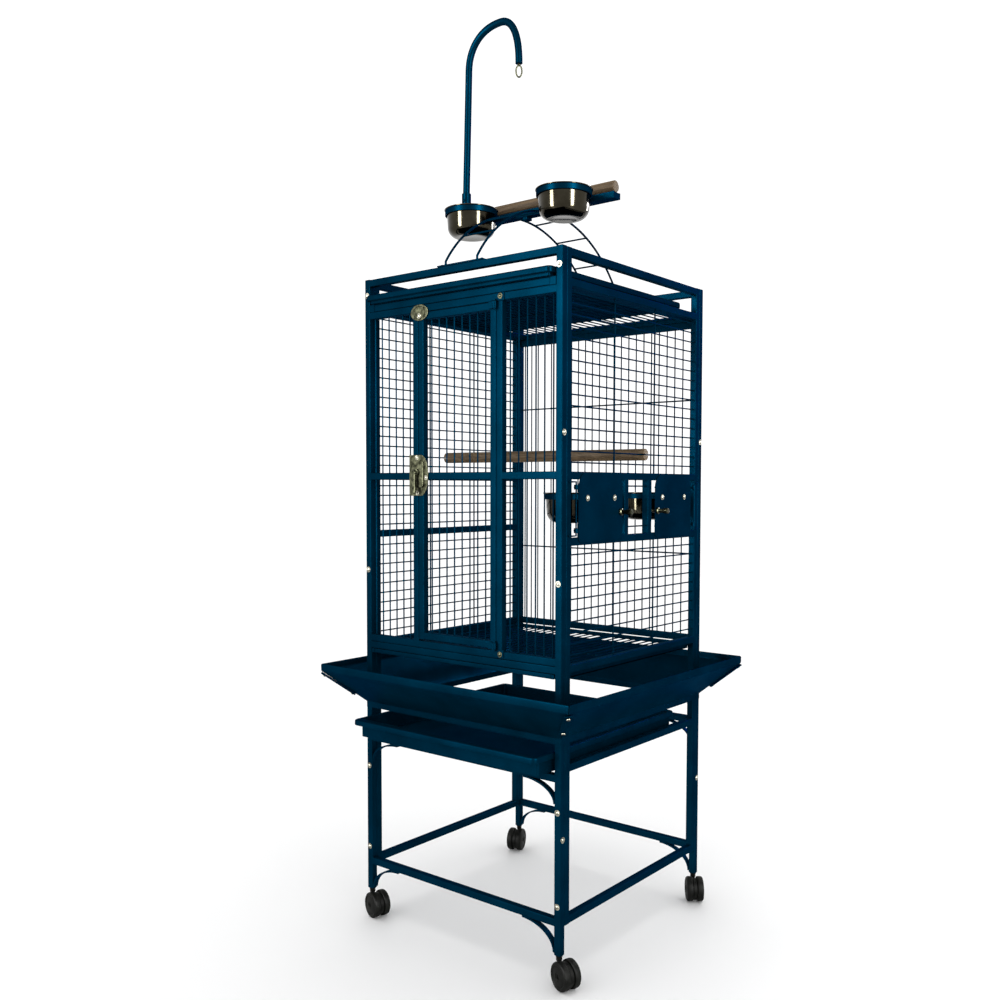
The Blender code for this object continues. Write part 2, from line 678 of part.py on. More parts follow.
def build_lock():
    face = -HALF_D - TOUCH
    w, h = LOCK_W / 2, LOCK_H / 2
    left = LOCK_X - w
    outline = [(left, LOCK_Z - h), (LOCK_X + w * 0.25, LOCK_Z - h)]
    outline += [(LOCK_X + w * 0.25 + w * 0.75 * math.sin(math.radians(a)), LOCK_Z - h * math.cos(math.radians(a)))
                for a in range(20, 180, 20)]
    outline += [(LOCK_X + w * 0.25, LOCK_Z + h), (left, LOCK_Z + h)]
    pivot = (LEVER_X, LEVER_Z)
    node("door_lock_plate",
         plate(outline, [circle(*pivot, 0.0034, 12)], face - LOCK_T, face, "front"), "zinc")
    front = face - LOCK_T - TOUCH
    hub = plate(circle(*pivot, 0.0075, 16), [], front - 0.004, front, "front")
    grip = plate([(pivot[0] - 0.0035, pivot[1]), (pivot[0] - 0.0045, pivot[1] - 0.034), (pivot[0], pivot[1] - 0.0375),
                  (pivot[0] + 0.0045, pivot[1] - 0.034), (pivot[0] + 0.0035, pivot[1])], [],
                 front - 0.0085, front - 0.0028, "front")
    post = plate(circle(*pivot, 0.0050, 12), [], front - 0.0075, front - 0.002, "front")
    shaft = rod((pivot[0], front - 0.001, pivot[1]), (pivot[0], face - 0.0006, pivot[1]), 0.0030, 10)
    node("door_lock_lever", combine([hub, grip, post, shaft]), "zinc", (pivot[0], front, pivot[1]))
    screw_z = DOOR_HIGH - TUBE / 2
    middle = (BUTTON_X, screw_z + BUTTON_RAISE)
    button = plate(circle(*middle, BUTTON_H / 2, 24, BUTTON_W / BUTTON_H), [], face - 0.0022, face, "front")
    screw = plate(circle(BUTTON_X, screw_z, 0.0040, 12), [], face - 0.0042, face - 0.001, "front")
    node("door_top_button", combine([button, screw]), "zinc", (BUTTON_X, face, screw_z))


LEVER_X = LOCK_X - 0.002
LEVER_Z = LOCK_Z + 0.005


# ---------------------------------------------------------------- bowls
def bowl_profile(rim_z):
    """Closed profile of a bowl that hangs by its rim, from its middle outward."""
    r, w, h = BOWL_R, BOWL_WALL, BOWL_H
    foot = r * 0.58
    base = rim_z + 0.0003 - h
    curve = [(foot + (r * 0.96 - foot) * math.sin(math.radians(a)), base + h * 0.38 * (1 - math.cos(math.radians(a))))
             for a in (0, 45, 90)]
    outside = [(0.0, base), *curve, (r, rim_z + 0.0003), (r + RING_T + RING_CLEAR + BOWL_RIM, rim_z + 0.0003),
               (r + RING_T + RING_CLEAR + BOWL_RIM, rim_z + 0.0018), (r - w, rim_z + 0.0018)]
    inside = [(max(x - w, 0.0), z + w * 0.9) for x, z in curve[::-1]]
    return outside + inside + [(0.0, base + w)]


def ring_shape(x, y, top):
    inner = BOWL_R + RING_CLEAR
    return plate(circle(x, y, inner + RING_T, 20), [], top - RING_H, top, "flat")


def ring_bore(x, y, top):
    return rod((x, y, top - RING_H - 0.01), (x, y, top + 0.01), BOWL_R + RING_CLEAR, 20)


def bowl(name, x, y, top):
    node(name, turned(bowl_profile(top), (x, y, 0.0)), "stainless", (x, y, top))


RING_OUT = BOWL_R + RING_CLEAR + RING_T
FEEDER_X = HALF_W + TOUCH
RING_X = FEEDER_X - RING_SETBACK - RING_OUT


def rounded_plate(middle, half, low, high, top_r, foot_r):
    points = []
    for u, v, r, start in ((middle + half, low, foot_r, 270), (middle + half, high, top_r, 0),
                           (middle - half, high, top_r, 90), (middle - half, low, foot_r, 180)):
        cu = u - r if u > middle else u + r
        cv = v + r if v == low else v - r
        steps = 4 if r == top_r else 1
        points += [(cu + r * math.cos(math.radians(start + 90 * i / steps)),
                    cv + r * math.sin(math.radians(start + 90 * i / steps))) for i in range(steps + 1)]
    return points


def build_feeder(place, sign):
    """sign -1 is the bay next to the main door, +1 the one at the back. Each is hinged at its post."""
    edge = sign * (IN_D - TOUCH - TUBE)             # the bay's edge at the post
    hinge = edge - sign * FEEDER_HINGE_IN
    half = FEEDER_W / 2
    y = hinge - sign * (FEEDER_SIDE + half)
    free = y - sign * half
    divider = sign * (BELT_WINDOW + TUBE)
    knob_y = divider + sign * KNOB_IN
    rod_end = divider + sign * FEEDER_SIDE
    axis_x = FEEDER_X + SHEET + 0.0012
    rod_x = FEEDER_X - ROD_R - 0.0002
    sheet = plate(rounded_plate(y, half, FEEDER_BOTTOM, FEEDER_TOP, FEEDER_CORNER, FEEDER_FOOT_CORNER),
                  [circle(knob_y, KNOB_Z, KNOB_R + 0.0005, 12)], FEEDER_X, FEEDER_X + SHEET, "side")
    parts = [sheet]
    for z in FEEDER_RODS:
        parts.append(box(rod_x - ROD_R, FEEDER_X + 0.0008, min(rod_end, hinge), max(rod_end, hinge), z - ROD_R, z + ROD_R))
        parts.append(plate(circle(axis_x, hinge, 0.0038, 10), [], z - 0.004, z + 0.004, "flat"))
    ring = [ring_shape(RING_X, y, FEEDER_RING_Z)]
    for offset in (-0.040, 0.040):
        ring.append(box(RING_X + 0.026, FEEDER_X + 0.0008, y + offset - 0.003, y + offset + 0.003,
                        FEEDER_RING_Z - RING_H, FEEDER_RING_Z))
    door = combine([*parts, *ring])
    cuts = [ring_bore(RING_X, y, FEEDER_RING_Z)]
    for z in FEEDER_RODS:
        cuts.append(rod((axis_x, hinge, z - 0.01), (axis_x, hinge, z + 0.01), 0.0020, 8))
    node(f"feeder_door_{place}", combine([door, *cuts], "DIFFERENCE"), "powder_coat", (axis_x, hinge, FEEDER_BOTTOM))
    # hinge wire, fixed to the post by two feet
    feet = []
    low, high = FEEDER_RODS[0] - 0.0085, FEEDER_RODS[1] + 0.0085
    for z in (low, high):
        ends = sorted((hinge - sign * 0.0016, edge + sign * 0.010))
        feet.append(box(HALF_W + TOUCH, axis_x + 0.0016, *ends, z - 0.0016, z + 0.0016))
    pin = rod((axis_x, hinge, low), (axis_x, hinge, high), 0.0015, 8)
    node(f"feeder_hinge_{place}", combine([pin, *feet]), "powder_coat")
    # twist latch
    tongue_x = IN_W - 0.0020
    knob = [rod((tongue_x - 0.001, knob_y, KNOB_Z), (FEEDER_X + SHEET + KNOB_OUT - 0.004, knob_y, KNOB_Z), KNOB_R, 10),
            rod((FEEDER_X + SHEET + TOUCH, knob_y, KNOB_Z), (FEEDER_X + SHEET + 0.004, knob_y, KNOB_Z), 0.0062, 12),
            rod((FEEDER_X + SHEET + KNOB_OUT - 0.009, knob_y, KNOB_Z), (FEEDER_X + SHEET + KNOB_OUT, knob_y, KNOB_Z), 0.0050, 12),
            box(tongue_x - 0.0022, tongue_x, knob_y - 0.0035, knob_y + 0.0035, KNOB_Z - TONGUE, KNOB_Z + 0.004)]
    node(f"feeder_latch_{place}", combine(knob), "zinc", (FEEDER_X + SHEET, knob_y, KNOB_Z))
    bowl(f"feeder_bowl_{place}", RING_X, y, FEEDER_RING_Z)


def build_cage_perch():
    wire_x = (IN_W + HALF_W) / 2
    reach = wire_x + WIRE / 2 + 0.0028
    ends = [Vector((-reach, PERCH_Y[0], PERCH_Z)), Vector((reach, PERCH_Y[1], PERCH_Z))]
    perch = rod(ends[0], ends[1], PERCH_R, 16)
    slot = WIRE / 2 + SLOT_CLEAR
    cuts = [box(sign * reach - 0.0085, sign * reach + 0.0085, y - 0.02, y + 0.02, PERCH_Z - slot, PERCH_Z + slot)
            for sign, y in ((-1, PERCH_Y[0]), (1, PERCH_Y[1]))]
    node("cage_perch", combine([perch, *cuts], "DIFFERENCE"), "wood")


# ---------------------------------------------------------------- play top
ARCH_Z = Z_TOP + ARCH_RISE - ARCH_R                 # height of the arches' centre
BAR_LOW = Z_TOP + ARCH_RISE + ARCH_WIRE_R + TOUCH + BAR_SEAT
BAR_TOP = BAR_LOW + BAR_H
PLAY_RING_Z = BAR_TOP
PLAY_BOWL_Y = BAR_Y - BAR_W / 2 - RING_STANDOFF - RING_OUT


def arch_point(x, angle):
    return Vector((x, ARCH_Y + ARCH_R * math.sin(angle), ARCH_Z + ARCH_R * math.cos(angle)))


def build_ladder():
    first = math.asin((ARCH_FRONT_Y - ARCH_Y) / ARCH_R)
    last = math.asin((ARCH_BACK_Y - ARCH_Y) / ARCH_R)
    steps = 12
    parts = []
    for x in ARCH_X:
        points = [arch_point(x, first + (last - first) * i / steps) for i in range(steps + 1)]
        points[-1].z = Z_TOP + TOUCH + FOOT_T / 2
        points.insert(0, Vector((x, points[0].y, Z_TOP + TOUCH + FOOT_T / 2)))
        parts.append(bent_wire(points, ARCH_WIRE_R, 6))
    for angle in RUNG_ANGLES:
        place = arch_point(0, math.radians(angle))
        parts.append(rod((ARCH_X[0], place.y, place.z), (ARCH_X[1], place.y, place.z), ARCH_WIRE_R * 0.8, 6))
    z0 = Z_TOP + TOUCH
    parts.append(box(ARCH_X[0] - 0.019, ARCH_X[1] + 0.013, -HALF_D, -IN_D, z0, z0 + FOOT_T))
    parts.append(box(ARCH_X[0] - 0.012, ARCH_X[1] + 0.012, ARCH_BACK_Y - 0.006, HALF_D, z0, z0 + FOOT_T))
    node("play_ladder", combine(parts), "powder_coat")


def build_perch_bar():
    bar = box(BAR_X[0], BAR_X[1], BAR_Y - BAR_W / 2, BAR_Y + BAR_W / 2, BAR_LOW, BAR_TOP)
    saddles = [box(x - 0.005, x + 0.005, BAR_Y - 0.008, BAR_Y + 0.008, BAR_LOW - BAR_SEAT, BAR_LOW + 0.002) for x in ARCH_X]
    rings = [ring_shape(x, PLAY_BOWL_Y, PLAY_RING_Z) for x in PLAY_BOWL_X]
    side = BAR_Y - BAR_W / 2
    rings += [box(x - 0.012, x + 0.012, side - RING_STANDOFF - RING_T * 0.8, side + 0.001, PLAY_RING_Z - RING_H, PLAY_RING_Z)
              for x in PLAY_BOWL_X]
    cuts = [ring_bore(x, PLAY_BOWL_Y, PLAY_RING_Z) for x in PLAY_BOWL_X]
    node("perch_bar", combine([combine([bar, *saddles, *rings]), *cuts], "DIFFERENCE"), "powder_coat")
    z = BAR_TOP + TOUCH + PLAY_PERCH_R
    node("play_perch", rod((PLAY_PERCH_X[0], BAR_Y, z), (PLAY_PERCH_X[1], BAR_Y, z), PLAY_PERCH_R, 20), "wood")
    for name, x in zip(("left", "right"), PLAY_BOWL_X):
        bowl(f"play_bowl_{name}", x, PLAY_BOWL_Y, PLAY_RING_Z)


def full(share):
    """A share of the hook's rise or run, moved out from the ellipse."""
    return max(share, 0.0) ** HOOK_FULL


def hook_path():
    """Middle line of the toy hook: a straight pole, a wide rise and a tighter fall."""
    foot = BAR_TOP + TOUCH + 0.008
    socket_top = BAR_TOP + TOUCH + SOCKET_H
    start_x = HOOK_X + HOOK_LEAN
    points = [(HOOK_X, foot), (HOOK_X, socket_top + 0.004),
              (start_x, HOOK_STRAIGHT_TOP)]
    rise = (HOOK_APEX[0] - start_x, HOOK_APEX[1] - HOOK_STRAIGHT_TOP)
    fall = (HOOK_END[0] - HOOK_APEX[0], HOOK_APEX[1] - HOOK_END[1])
    for i in range(1, 9):
        a = math.radians(90 * i / 8)
        points.append((HOOK_APEX[0] - rise[0] * full(math.cos(a)), HOOK_STRAIGHT_TOP + rise[1] * full(math.sin(a))))
    for i in range(1, 8):
        a = math.radians(90 * i / 7)
        points.append((HOOK_APEX[0] + fall[0] * full(math.sin(a)), HOOK_END[1] + fall[1] * full(math.cos(a))))
    return [Vector((x, BAR_Y, z)) for x, z in points]


def build_hook():
    base = BAR_TOP + TOUCH
    sides = 8
    inner = HOOK_R + SOCKET_CLEAR
    floor = base + 0.0075
    node("hook_socket",
         turned([(0.0, base), (SOCKET_R, base), (SOCKET_R, base + SOCKET_H), (inner, base + SOCKET_H),
                 (inner, floor), (0.0, floor)], (HOOK_X, BAR_Y, 0.0), 12), "powder_coat")
    path = hook_path()
    pole = bent_wire(path, HOOK_R, sides)
    end = path[-1]
    bore = rod((end.x, end.y, end.z - 0.002), (end.x, end.y, end.z + 0.007), 0.0019, 8)
    node("toy_hook", combine([pole, bore], "DIFFERENCE"), "powder_coat", (HOOK_X, BAR_Y, base))
    drop = end.z - TOUCH
    centre = drop - 0.0035 - EYE_R - EYE_LONG
    loop = []
    for i in range(12):
        a = math.radians(30 * i)
        loop.append((EYE_R * math.sin(a), EYE_R * math.cos(a) + EYE_LONG * (1 if math.cos(a) > 0 else -1) * 0.8
                     if abs(math.cos(a)) > 1e-6 else EYE_R * math.cos(a)))
    curve = bpy.data.curves.new("eye", "CURVE")
    curve.dimensions = "3D"
    curve.bevel_depth = EYE_WIRE_R
    curve.bevel_resolution = 0
    spline = curve.splines.new("POLY")
    spline.points.add(len(loop) - 1)
    for point, (u, v) in zip(spline.points, loop):
        point.co = (u * math.cos(math.radians(40)), u * math.sin(math.radians(40)), v, 1.0)
    spline.use_cyclic_u = True
    eye = mesh_object("eye", curve)
    eye.location = (end.x, end.y, centre)
    eye = as_mesh(eye)
    top = centre + EYE_R + 0.8 * EYE_LONG
    shank = rod((end.x, end.y, top), (end.x, end.y, end.z + 0.005), 0.0015, 8)
    node("hook_eye", combine([eye, shank]), "zinc", (end.x, end.y, end.z))


# ---------------------------------------------------------------- casters
def build_caster(corner, sx, sy):
    stem = Vector((sx * (HALF_W - TUBE / 2), sy * (HALF_D - TUBE / 2), 0.0))
    yaw = math.radians(CASTER_YAW[corner])
    place = Matrix.Translation(stem) @ Matrix.Rotation(yaw, 4, "Z")
    top = Z_LEG - TOUCH
    centre = (CASTER_TRAIL, CASTER_R)
    hub = CASTER_GAP - 0.0005
    hood = plate(circle(*centre, HOOD_R, 14), [], -hub, hub, "front")
    post = rod((0, 0, CASTER_R * 0.55), (0, 0, top), STEM_R - 0.0002, 8)
    cap = rod((0, 0, top - 0.0018), (0, 0, top), 0.0062, 8)
    web = box(0.0, CASTER_TRAIL * 0.6, -hub * 0.8, hub * 0.8, CASTER_R * 0.5, CASTER_R * 1.45)
    half = CASTER_GAP + WHEEL_W - 0.0020
    axle = rod((centre[0], -half, centre[1]), (centre[0], half, centre[1]), AXLE_R, 8)
    fork = combine([hood, post, cap, web, axle])
    node(f"caster_fork_{corner}", moved(fork, place), "black_plastic", tuple(stem + Vector((0, 0, top))))
    for side, sign in (("a", -1), ("b", 1)):
        low, high = sorted((sign * CASTER_GAP, sign * (CASTER_GAP + WHEEL_W)))
        wheel = plate(circle(*centre, CASTER_R, 20), [circle(*centre, AXLE_R + AXLE_CLEAR, 8)], low, high, "front")
        hub_point = place @ Vector((centre[0], 0.0, centre[1]))
        node(f"caster_wheel_{corner}_{side}", moved(wheel, place), "black_plastic", tuple(hub_point))


# ---------------------------------------------------------------- assembly
clear_scene()
CAGE = bpy.data.collections.new("bird_cage_on_stand")
bpy.context.scene.collection.children.link(CAGE)
PAINT = {name: make_material(name) for name in MATERIALS}

build_front_frame()
build_back_frame()
build_side_frame("right_frame", 1)
build_side_frame("left_frame", -1)
build_roof()
build_floor()
for guard, angle in (("front", 0), ("right", 90), ("back", 180), ("left", 270)):
    build_guard(f"guard_{guard}", angle)
for corner, sx, sy in (("front_left", -1, -1), ("front_right", 1, -1), ("back_left", -1, 1), ("back_right", 1, 1)):
    build_guard_clip(f"guard_clip_{corner}", sx, sy)
    build_caster(corner, sx, sy)
build_main_door()
build_hinges()
build_lock()
build_feeder("front", -1)
build_feeder("back", 1)
build_cage_perch()
build_ladder()
build_perch_bar()
build_hook()
build_braces()
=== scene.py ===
"""Looks for a play-top bird cage on a castered stand, laid out as a Blender add-on.

Every operator makes one piece, or one group of like pieces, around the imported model.
"""

import math

import bmesh
import bpy
from mathutils import Matrix, Vector


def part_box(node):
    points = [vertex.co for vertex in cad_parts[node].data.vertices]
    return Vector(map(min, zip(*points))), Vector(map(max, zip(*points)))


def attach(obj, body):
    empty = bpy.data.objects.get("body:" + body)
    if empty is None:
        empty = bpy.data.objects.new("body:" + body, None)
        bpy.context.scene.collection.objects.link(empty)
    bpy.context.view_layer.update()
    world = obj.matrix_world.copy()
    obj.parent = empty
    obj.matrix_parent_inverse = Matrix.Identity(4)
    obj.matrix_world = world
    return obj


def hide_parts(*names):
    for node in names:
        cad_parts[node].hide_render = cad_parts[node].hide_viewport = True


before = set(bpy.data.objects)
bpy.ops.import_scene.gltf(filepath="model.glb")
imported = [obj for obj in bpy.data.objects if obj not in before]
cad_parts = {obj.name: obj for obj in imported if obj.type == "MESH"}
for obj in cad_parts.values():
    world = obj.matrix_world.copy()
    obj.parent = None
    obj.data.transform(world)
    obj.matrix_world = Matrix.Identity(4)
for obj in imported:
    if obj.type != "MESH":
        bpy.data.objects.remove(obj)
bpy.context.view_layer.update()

bl_info = {
    "name": "Play-top bird cage",
    "version": (1, 0, 0),
    "blender": (4, 5, 0),
    "location": "View3D > Sidebar > Bird cage",
    "description": "Makes the finished surfaces of a wire bird cage on a castered stand",
    "category": "Add Mesh",
}

# ------------------------------------------------------------ sizes of the cage, in metres
HALF = 0.2285             # outside of the posts
TUBE = 0.0127             # square tube
IN = HALF - TUBE
TOUCH = 0.0003
PITCH = 0.018
Z_LEG, Z_LOWER, Z_TRAY_FRONT, Z_TRAY_SIDE, Z_BASE = 0.049, 0.0962, 0.334, 0.3483, 0.510
Z_BELT_LOW, Z_BELT_HIGH, Z_PANEL_TOP, Z_SIDE_TOP, Z_RIM = 0.7173, 0.825, 1.1213, 1.1335, 1.1813
Z_TOP = Z_RIM + TUBE
Z_SILL = Z_BASE + 2 * TUBE + TOUCH
JAMB = 0.09145            # inner face of the door jambs
DOOR = 0.09065            # outer face of the door's stiles
END = IN - TOUCH          # ends of the side frames
BAY = END - TUBE
WINDOW = 0.032
SIDE_PITCH = 0.0183
FIRST_WIRE = 0.015
FRONT_Y = -(HALF + IN) / 2
PERCH_R = 0.0105
CORNERS = {"front_left": (-1, -1), "front_right": (1, -1), "back_left": (-1, 1), "back_right": (1, 1)}
CASTER_YAW = {"front_right": -20.0, "front_left": -15.0, "back_left": -69.0, "back_right": -52.0}


def linear(code):
    """A linear RGBA colour from an sRGB hex code."""
    parts = [int(code[i:i + 2], 16) / 255 for i in (1, 3, 5)]
    return (*[c / 12.92 if c <= 0.04045 else ((c + 0.055) / 1.055) ** 2.4 for c in parts], 1.0)


# ------------------------------------------------------------ settings a user would change
class CageSizes(bpy.types.PropertyGroup):
    """Sizes of the small shapes that finish the cage."""

    corner: bpy.props.FloatProperty(name="Tube corner", description="Radius of the tubes' rounded corners",
                                    default=0.0013, min=0.0002, max=0.004, unit="LENGTH", precision=4)
    wire: bpy.props.FloatProperty(name="Wire radius", description="Radius of the grille wires",
                                  default=0.0013, min=0.0005, max=0.003, unit="LENGTH", precision=4)
    brace_wire: bpy.props.FloatProperty(name="Cross wire radius",
                                        description="Radius of the wires across a grille",
                                        default=0.0015, min=0.0005, max=0.003, unit="LENGTH", precision=4)
    bolt: bpy.props.FloatProperty(name="Bolt head radius", description="Radius of the frame bolts' heads",
                                  default=0.0042, min=0.002, max=0.008, unit="LENGTH", precision=4)
    wire_sides: bpy.props.IntProperty(name="Wire sides", description="Sides of each grille wire",
                                      default=8, min=4, max=24)


class CageColours(bpy.types.PropertyGroup):
    """Colours of the finishes."""

    coat: bpy.props.FloatVectorProperty(name="Powder coat",
                                        description="Colour of the steel frames and trays",
                                        default=linear("#002031"), size=4, min=0, max=1, subtype="COLOR")
    wood: bpy.props.FloatVectorProperty(name="Perch wood", description="Main colour of the perches",
                                        default=linear("#715E46"), size=4, min=0, max=1, subtype="COLOR")
    grain: bpy.props.FloatVectorProperty(name="Wood grain", description="Colour of the grain in the perches",
                                         default=linear("#4A3926"), size=4, min=0, max=1, subtype="COLOR")
    floor: bpy.props.FloatVectorProperty(name="Floor", description="Colour of the floor and its surroundings",
                                         default=linear("#FAFAFA"), size=4, min=0, max=1, subtype="COLOR")


def sizes():
    return bpy.context.scene.cage_sizes


def colours():
    return bpy.context.scene.cage_colours


# ------------------------------------------------------------ materials
def add_node(tree, kind, fill=None, **settings):
    """Adds a node with its settings, and fills its inputs with values or other nodes' sockets."""
    made = tree.nodes.new(kind)
    for key, value in settings.items():
        setattr(made, key, value)
    for key, value in (fill or {}).items():
        if isinstance(value, bpy.types.NodeSocket):
            tree.links.new(value, made.inputs[key])
        else:
            made.inputs[key].default_value = value
    return made


def new_material(name):
    """(tree, Object coordinates, shader) of an empty material."""
    material = bpy.data.materials.new(name)
    material.use_nodes = True
    tree = material.node_tree
    tree.nodes.clear()
    shader = add_node(tree, "ShaderNodeBsdfPrincipled")
    add_node(tree, "ShaderNodeOutputMaterial", {"Surface": shader.outputs[0]})
    place = add_node(tree, "ShaderNodeTexCoord").outputs["Object"]
    return material, tree, place, shader


def ramp(tree, factor, stops):
    """A colour ramp over the factor, from (position, colour) stops."""
    made = add_node(tree, "ShaderNodeValToRGB", {0: factor})
    made.color_ramp.elements[0].position, made.color_ramp.elements[0].color = stops[0]
    made.color_ramp.elements[1].position, made.color_ramp.elements[1].color = stops[-1]
    for position, colour in stops[1:-1]:
        made.color_ramp.elements.new(position).color = colour
    return made.outputs["Color"]


def grey(value):
    return (value, value, value, 1.0)


def tinted(colour, share):
    return (*[min(1.0, c * share) for c in colour[:3]], 1.0)


def powder_coated_steel():
    """Baked polyester powder on steel: satin, with fine orange peel."""
    material, tree, place, shader = new_material("powder_coated_steel")
    base = tuple(colours().coat)
    # pools of slightly thicker powder, about 60 mm across
    pools = add_node(tree, "ShaderNodeTexNoise", {"Vector": place, "Scale": 1 / 0.060, "Detail": 3.0})
    tree.links.new(ramp(tree, pools.outputs[0], [(0.3, tinted(base, 0.80)), (0.7, tinted(base, 1.20))]),
                   shader.inputs["Base Color"])
    # orange peel with lumps 1.6 mm across, and a powder grain of 0.5 mm
    peel = add_node(tree, "ShaderNodeTexNoise", {"Vector": place, "Scale": 1 / 0.0016, "Detail": 1.0})
    grain = add_node(tree, "ShaderNodeTexNoise", {"Vector": place, "Scale": 1 / 0.0005, "Detail": 0.0})
    both = add_node(tree, "ShaderNodeMath", {0: peel.outputs[0], 1: grain.outputs[0]}, operation="ADD")
    bump = add_node(tree, "ShaderNodeBump",
                    {"Height": both.outputs[0], "Strength": 0.35, "Distance": 0.00012})
    tree.links.new(bump.outputs[0], shader.inputs["Normal"])
    tree.links.new(ramp(tree, peel.outputs[0], [(0.3, grey(0.30)), (0.7, grey(0.40))]),
                   shader.inputs["Roughness"])
    # a partly metallic mix with a blue edge tint keeps the sheen at low angles blue, where a clear
    # skin would mirror the pale surroundings as grey
    shader.inputs["Metallic"].default_value = 0.25
    shader.inputs["Specular IOR Level"].default_value = 0.0
    shader.inputs["Specular Tint"].default_value = linear("#4C93B5")
    return material


def spun_stainless():
    """Stainless steel spun over a former and polished, with faint rings from the tool."""
    material, tree, place, shader = new_material("spun_stainless")
    # the colours are darker than bare steel's, standing in for dark surroundings for it to mirror
    # tool rings lie at one height each, 0.7 mm apart
    rings = add_node(tree, "ShaderNodeMapping", {"Vector": place, "Scale": (3.0, 3.0, 1 / 0.0007)})
    marks = add_node(tree, "ShaderNodeTexNoise", {"Vector": rings.outputs[0], "Scale": 1.0, "Detail": 2.0})
    haze = add_node(tree, "ShaderNodeTexNoise", {"Vector": place, "Scale": 1 / 0.020, "Detail": 4.0})
    bump = add_node(tree, "ShaderNodeBump",
                    {"Height": marks.outputs[0], "Strength": 0.10, "Distance": 0.00005})
    tree.links.new(bump.outputs[0], shader.inputs["Normal"])
    tree.links.new(ramp(tree, haze.outputs[0], [(0.3, linear("#29261E")), (0.7, linear("#37342B"))]),
                   shader.inputs["Base Color"])
    tree.links.new(ramp(tree, haze.outputs[0], [(0.35, grey(0.07)), (0.7, grey(0.13))]),
                   shader.inputs["Roughness"])
    shader.inputs["Metallic"].default_value = 1.0
    return material


def zinc_plated_steel(name="zinc_plated_steel", dark="#1B1C14", light="#454636"):
    """Zinc plate with a yellow-green passivation: a cloudy, half-bright metal."""
    material, tree, place, shader = new_material(name)
    # the default colours are darker than bare zinc's, standing in for dark surroundings
    # clouds in the passivation about 7 mm across, and crystals of 0.8 mm
    clouds = add_node(tree, "ShaderNodeTexNoise", {"Vector": place, "Scale": 1 / 0.007, "Detail": 5.0})
    crystals = add_node(tree, "ShaderNodeTexVoronoi", {"Vector": place, "Scale": 1 / 0.0008})
    tree.links.new(ramp(tree, clouds.outputs[0], [(0.3, linear(dark)), (0.7, linear(light))]),
                   shader.inputs["Base Color"])
    bump = add_node(tree, "ShaderNodeBump",
                    {"Height": crystals.outputs[0], "Strength": 0.15, "Distance": 0.00008})
    tree.links.new(bump.outputs[0], shader.inputs["Normal"])
    tree.links.new(ramp(tree, clouds.outputs[0], [(0.3, grey(0.26)), (0.7, grey(0.42))]),
                   shader.inputs["Roughness"])
    shader.inputs["Metallic"].default_value = 1.0
    return material


def bare_dowel():
    """Turned hardwood with no varnish: long pale grain with darker pores and a soft dry surface."""
    material, tree, place, shader = new_material("bare_hardwood_dowel")
    # growth bands 3 mm wide and pores 0.6 mm wide, both drawn out along the dowel
    bands = add_node(tree, "ShaderNodeMapping", {"Vector": place, "Scale": (9.0, 1 / 0.003, 1 / 0.003)})
    pores = add_node(tree, "ShaderNodeMapping", {"Vector": place, "Scale": (60.0, 1 / 0.0006, 1 / 0.0006)})
    figure = add_node(tree, "ShaderNodeTexNoise",
                      {"Vector": bands.outputs[0], "Scale": 1.0, "Detail": 4.0, "Distortion": 0.6})
    fine = add_node(tree, "ShaderNodeTexNoise", {"Vector": pores.outputs[0], "Scale": 1.0, "Detail": 2.0})
    wood, grain = tuple(colours().wood), tuple(colours().grain)
    body = ramp(tree, figure.outputs[0], [(0.30, grain), (0.52, wood), (0.75, tinted(wood, 1.18))])
    dark = ramp(tree, fine.outputs[0], [(0.30, grey(0.62)), (0.50, grey(1.0))])
    mixed = add_node(tree, "ShaderNodeMix", {0: 1.0, 6: body, 7: dark}, data_type="RGBA",
                     blend_type="MULTIPLY")
    tree.links.new(mixed.outputs[2], shader.inputs["Base Color"])
    bump = add_node(tree, "ShaderNodeBump", {"Height": fine.outputs[0], "Strength": 0.3, "Distance": 0.00015})
    tree.links.new(bump.outputs[0], shader.inputs["Normal"])
    shader.inputs["Roughness"].default_value = 0.62
    shader.inputs["Specular IOR Level"].default_value = 0.08
    return material


def moulded_nylon():
    """Glass-filled nylon out of a spark-eroded mould: black, with a fine matt texture."""
    material, tree, place, shader = new_material("moulded_black_nylon")
    # the mould's texture is about 0.6 mm across
    texture = add_node(tree, "ShaderNodeTexNoise", {"Vector": place, "Scale": 1 / 0.0006, "Detail": 2.0})
    scuffs = add_node(tree, "ShaderNodeTexNoise", {"Vector": place, "Scale": 1 / 0.012, "Detail": 6.0})
    tree.links.new(ramp(tree, scuffs.outputs[0], [(0.4, linear("#0B0C0A")), (0.75, linear("#191A17"))]),
                   shader.inputs["Base Color"])
    bump = add_node(tree, "ShaderNodeBump",
                    {"Height": texture.outputs[0], "Strength": 0.25, "Distance": 0.0001})
    tree.links.new(bump.outputs[0], shader.inputs["Normal"])
    tree.links.new(ramp(tree, scuffs.outputs[0], [(0.3, grey(0.42)), (0.7, grey(0.58))]),
                   shader.inputs["Roughness"])
    shader.inputs["Specular IOR Level"].default_value = 0.05
    return material


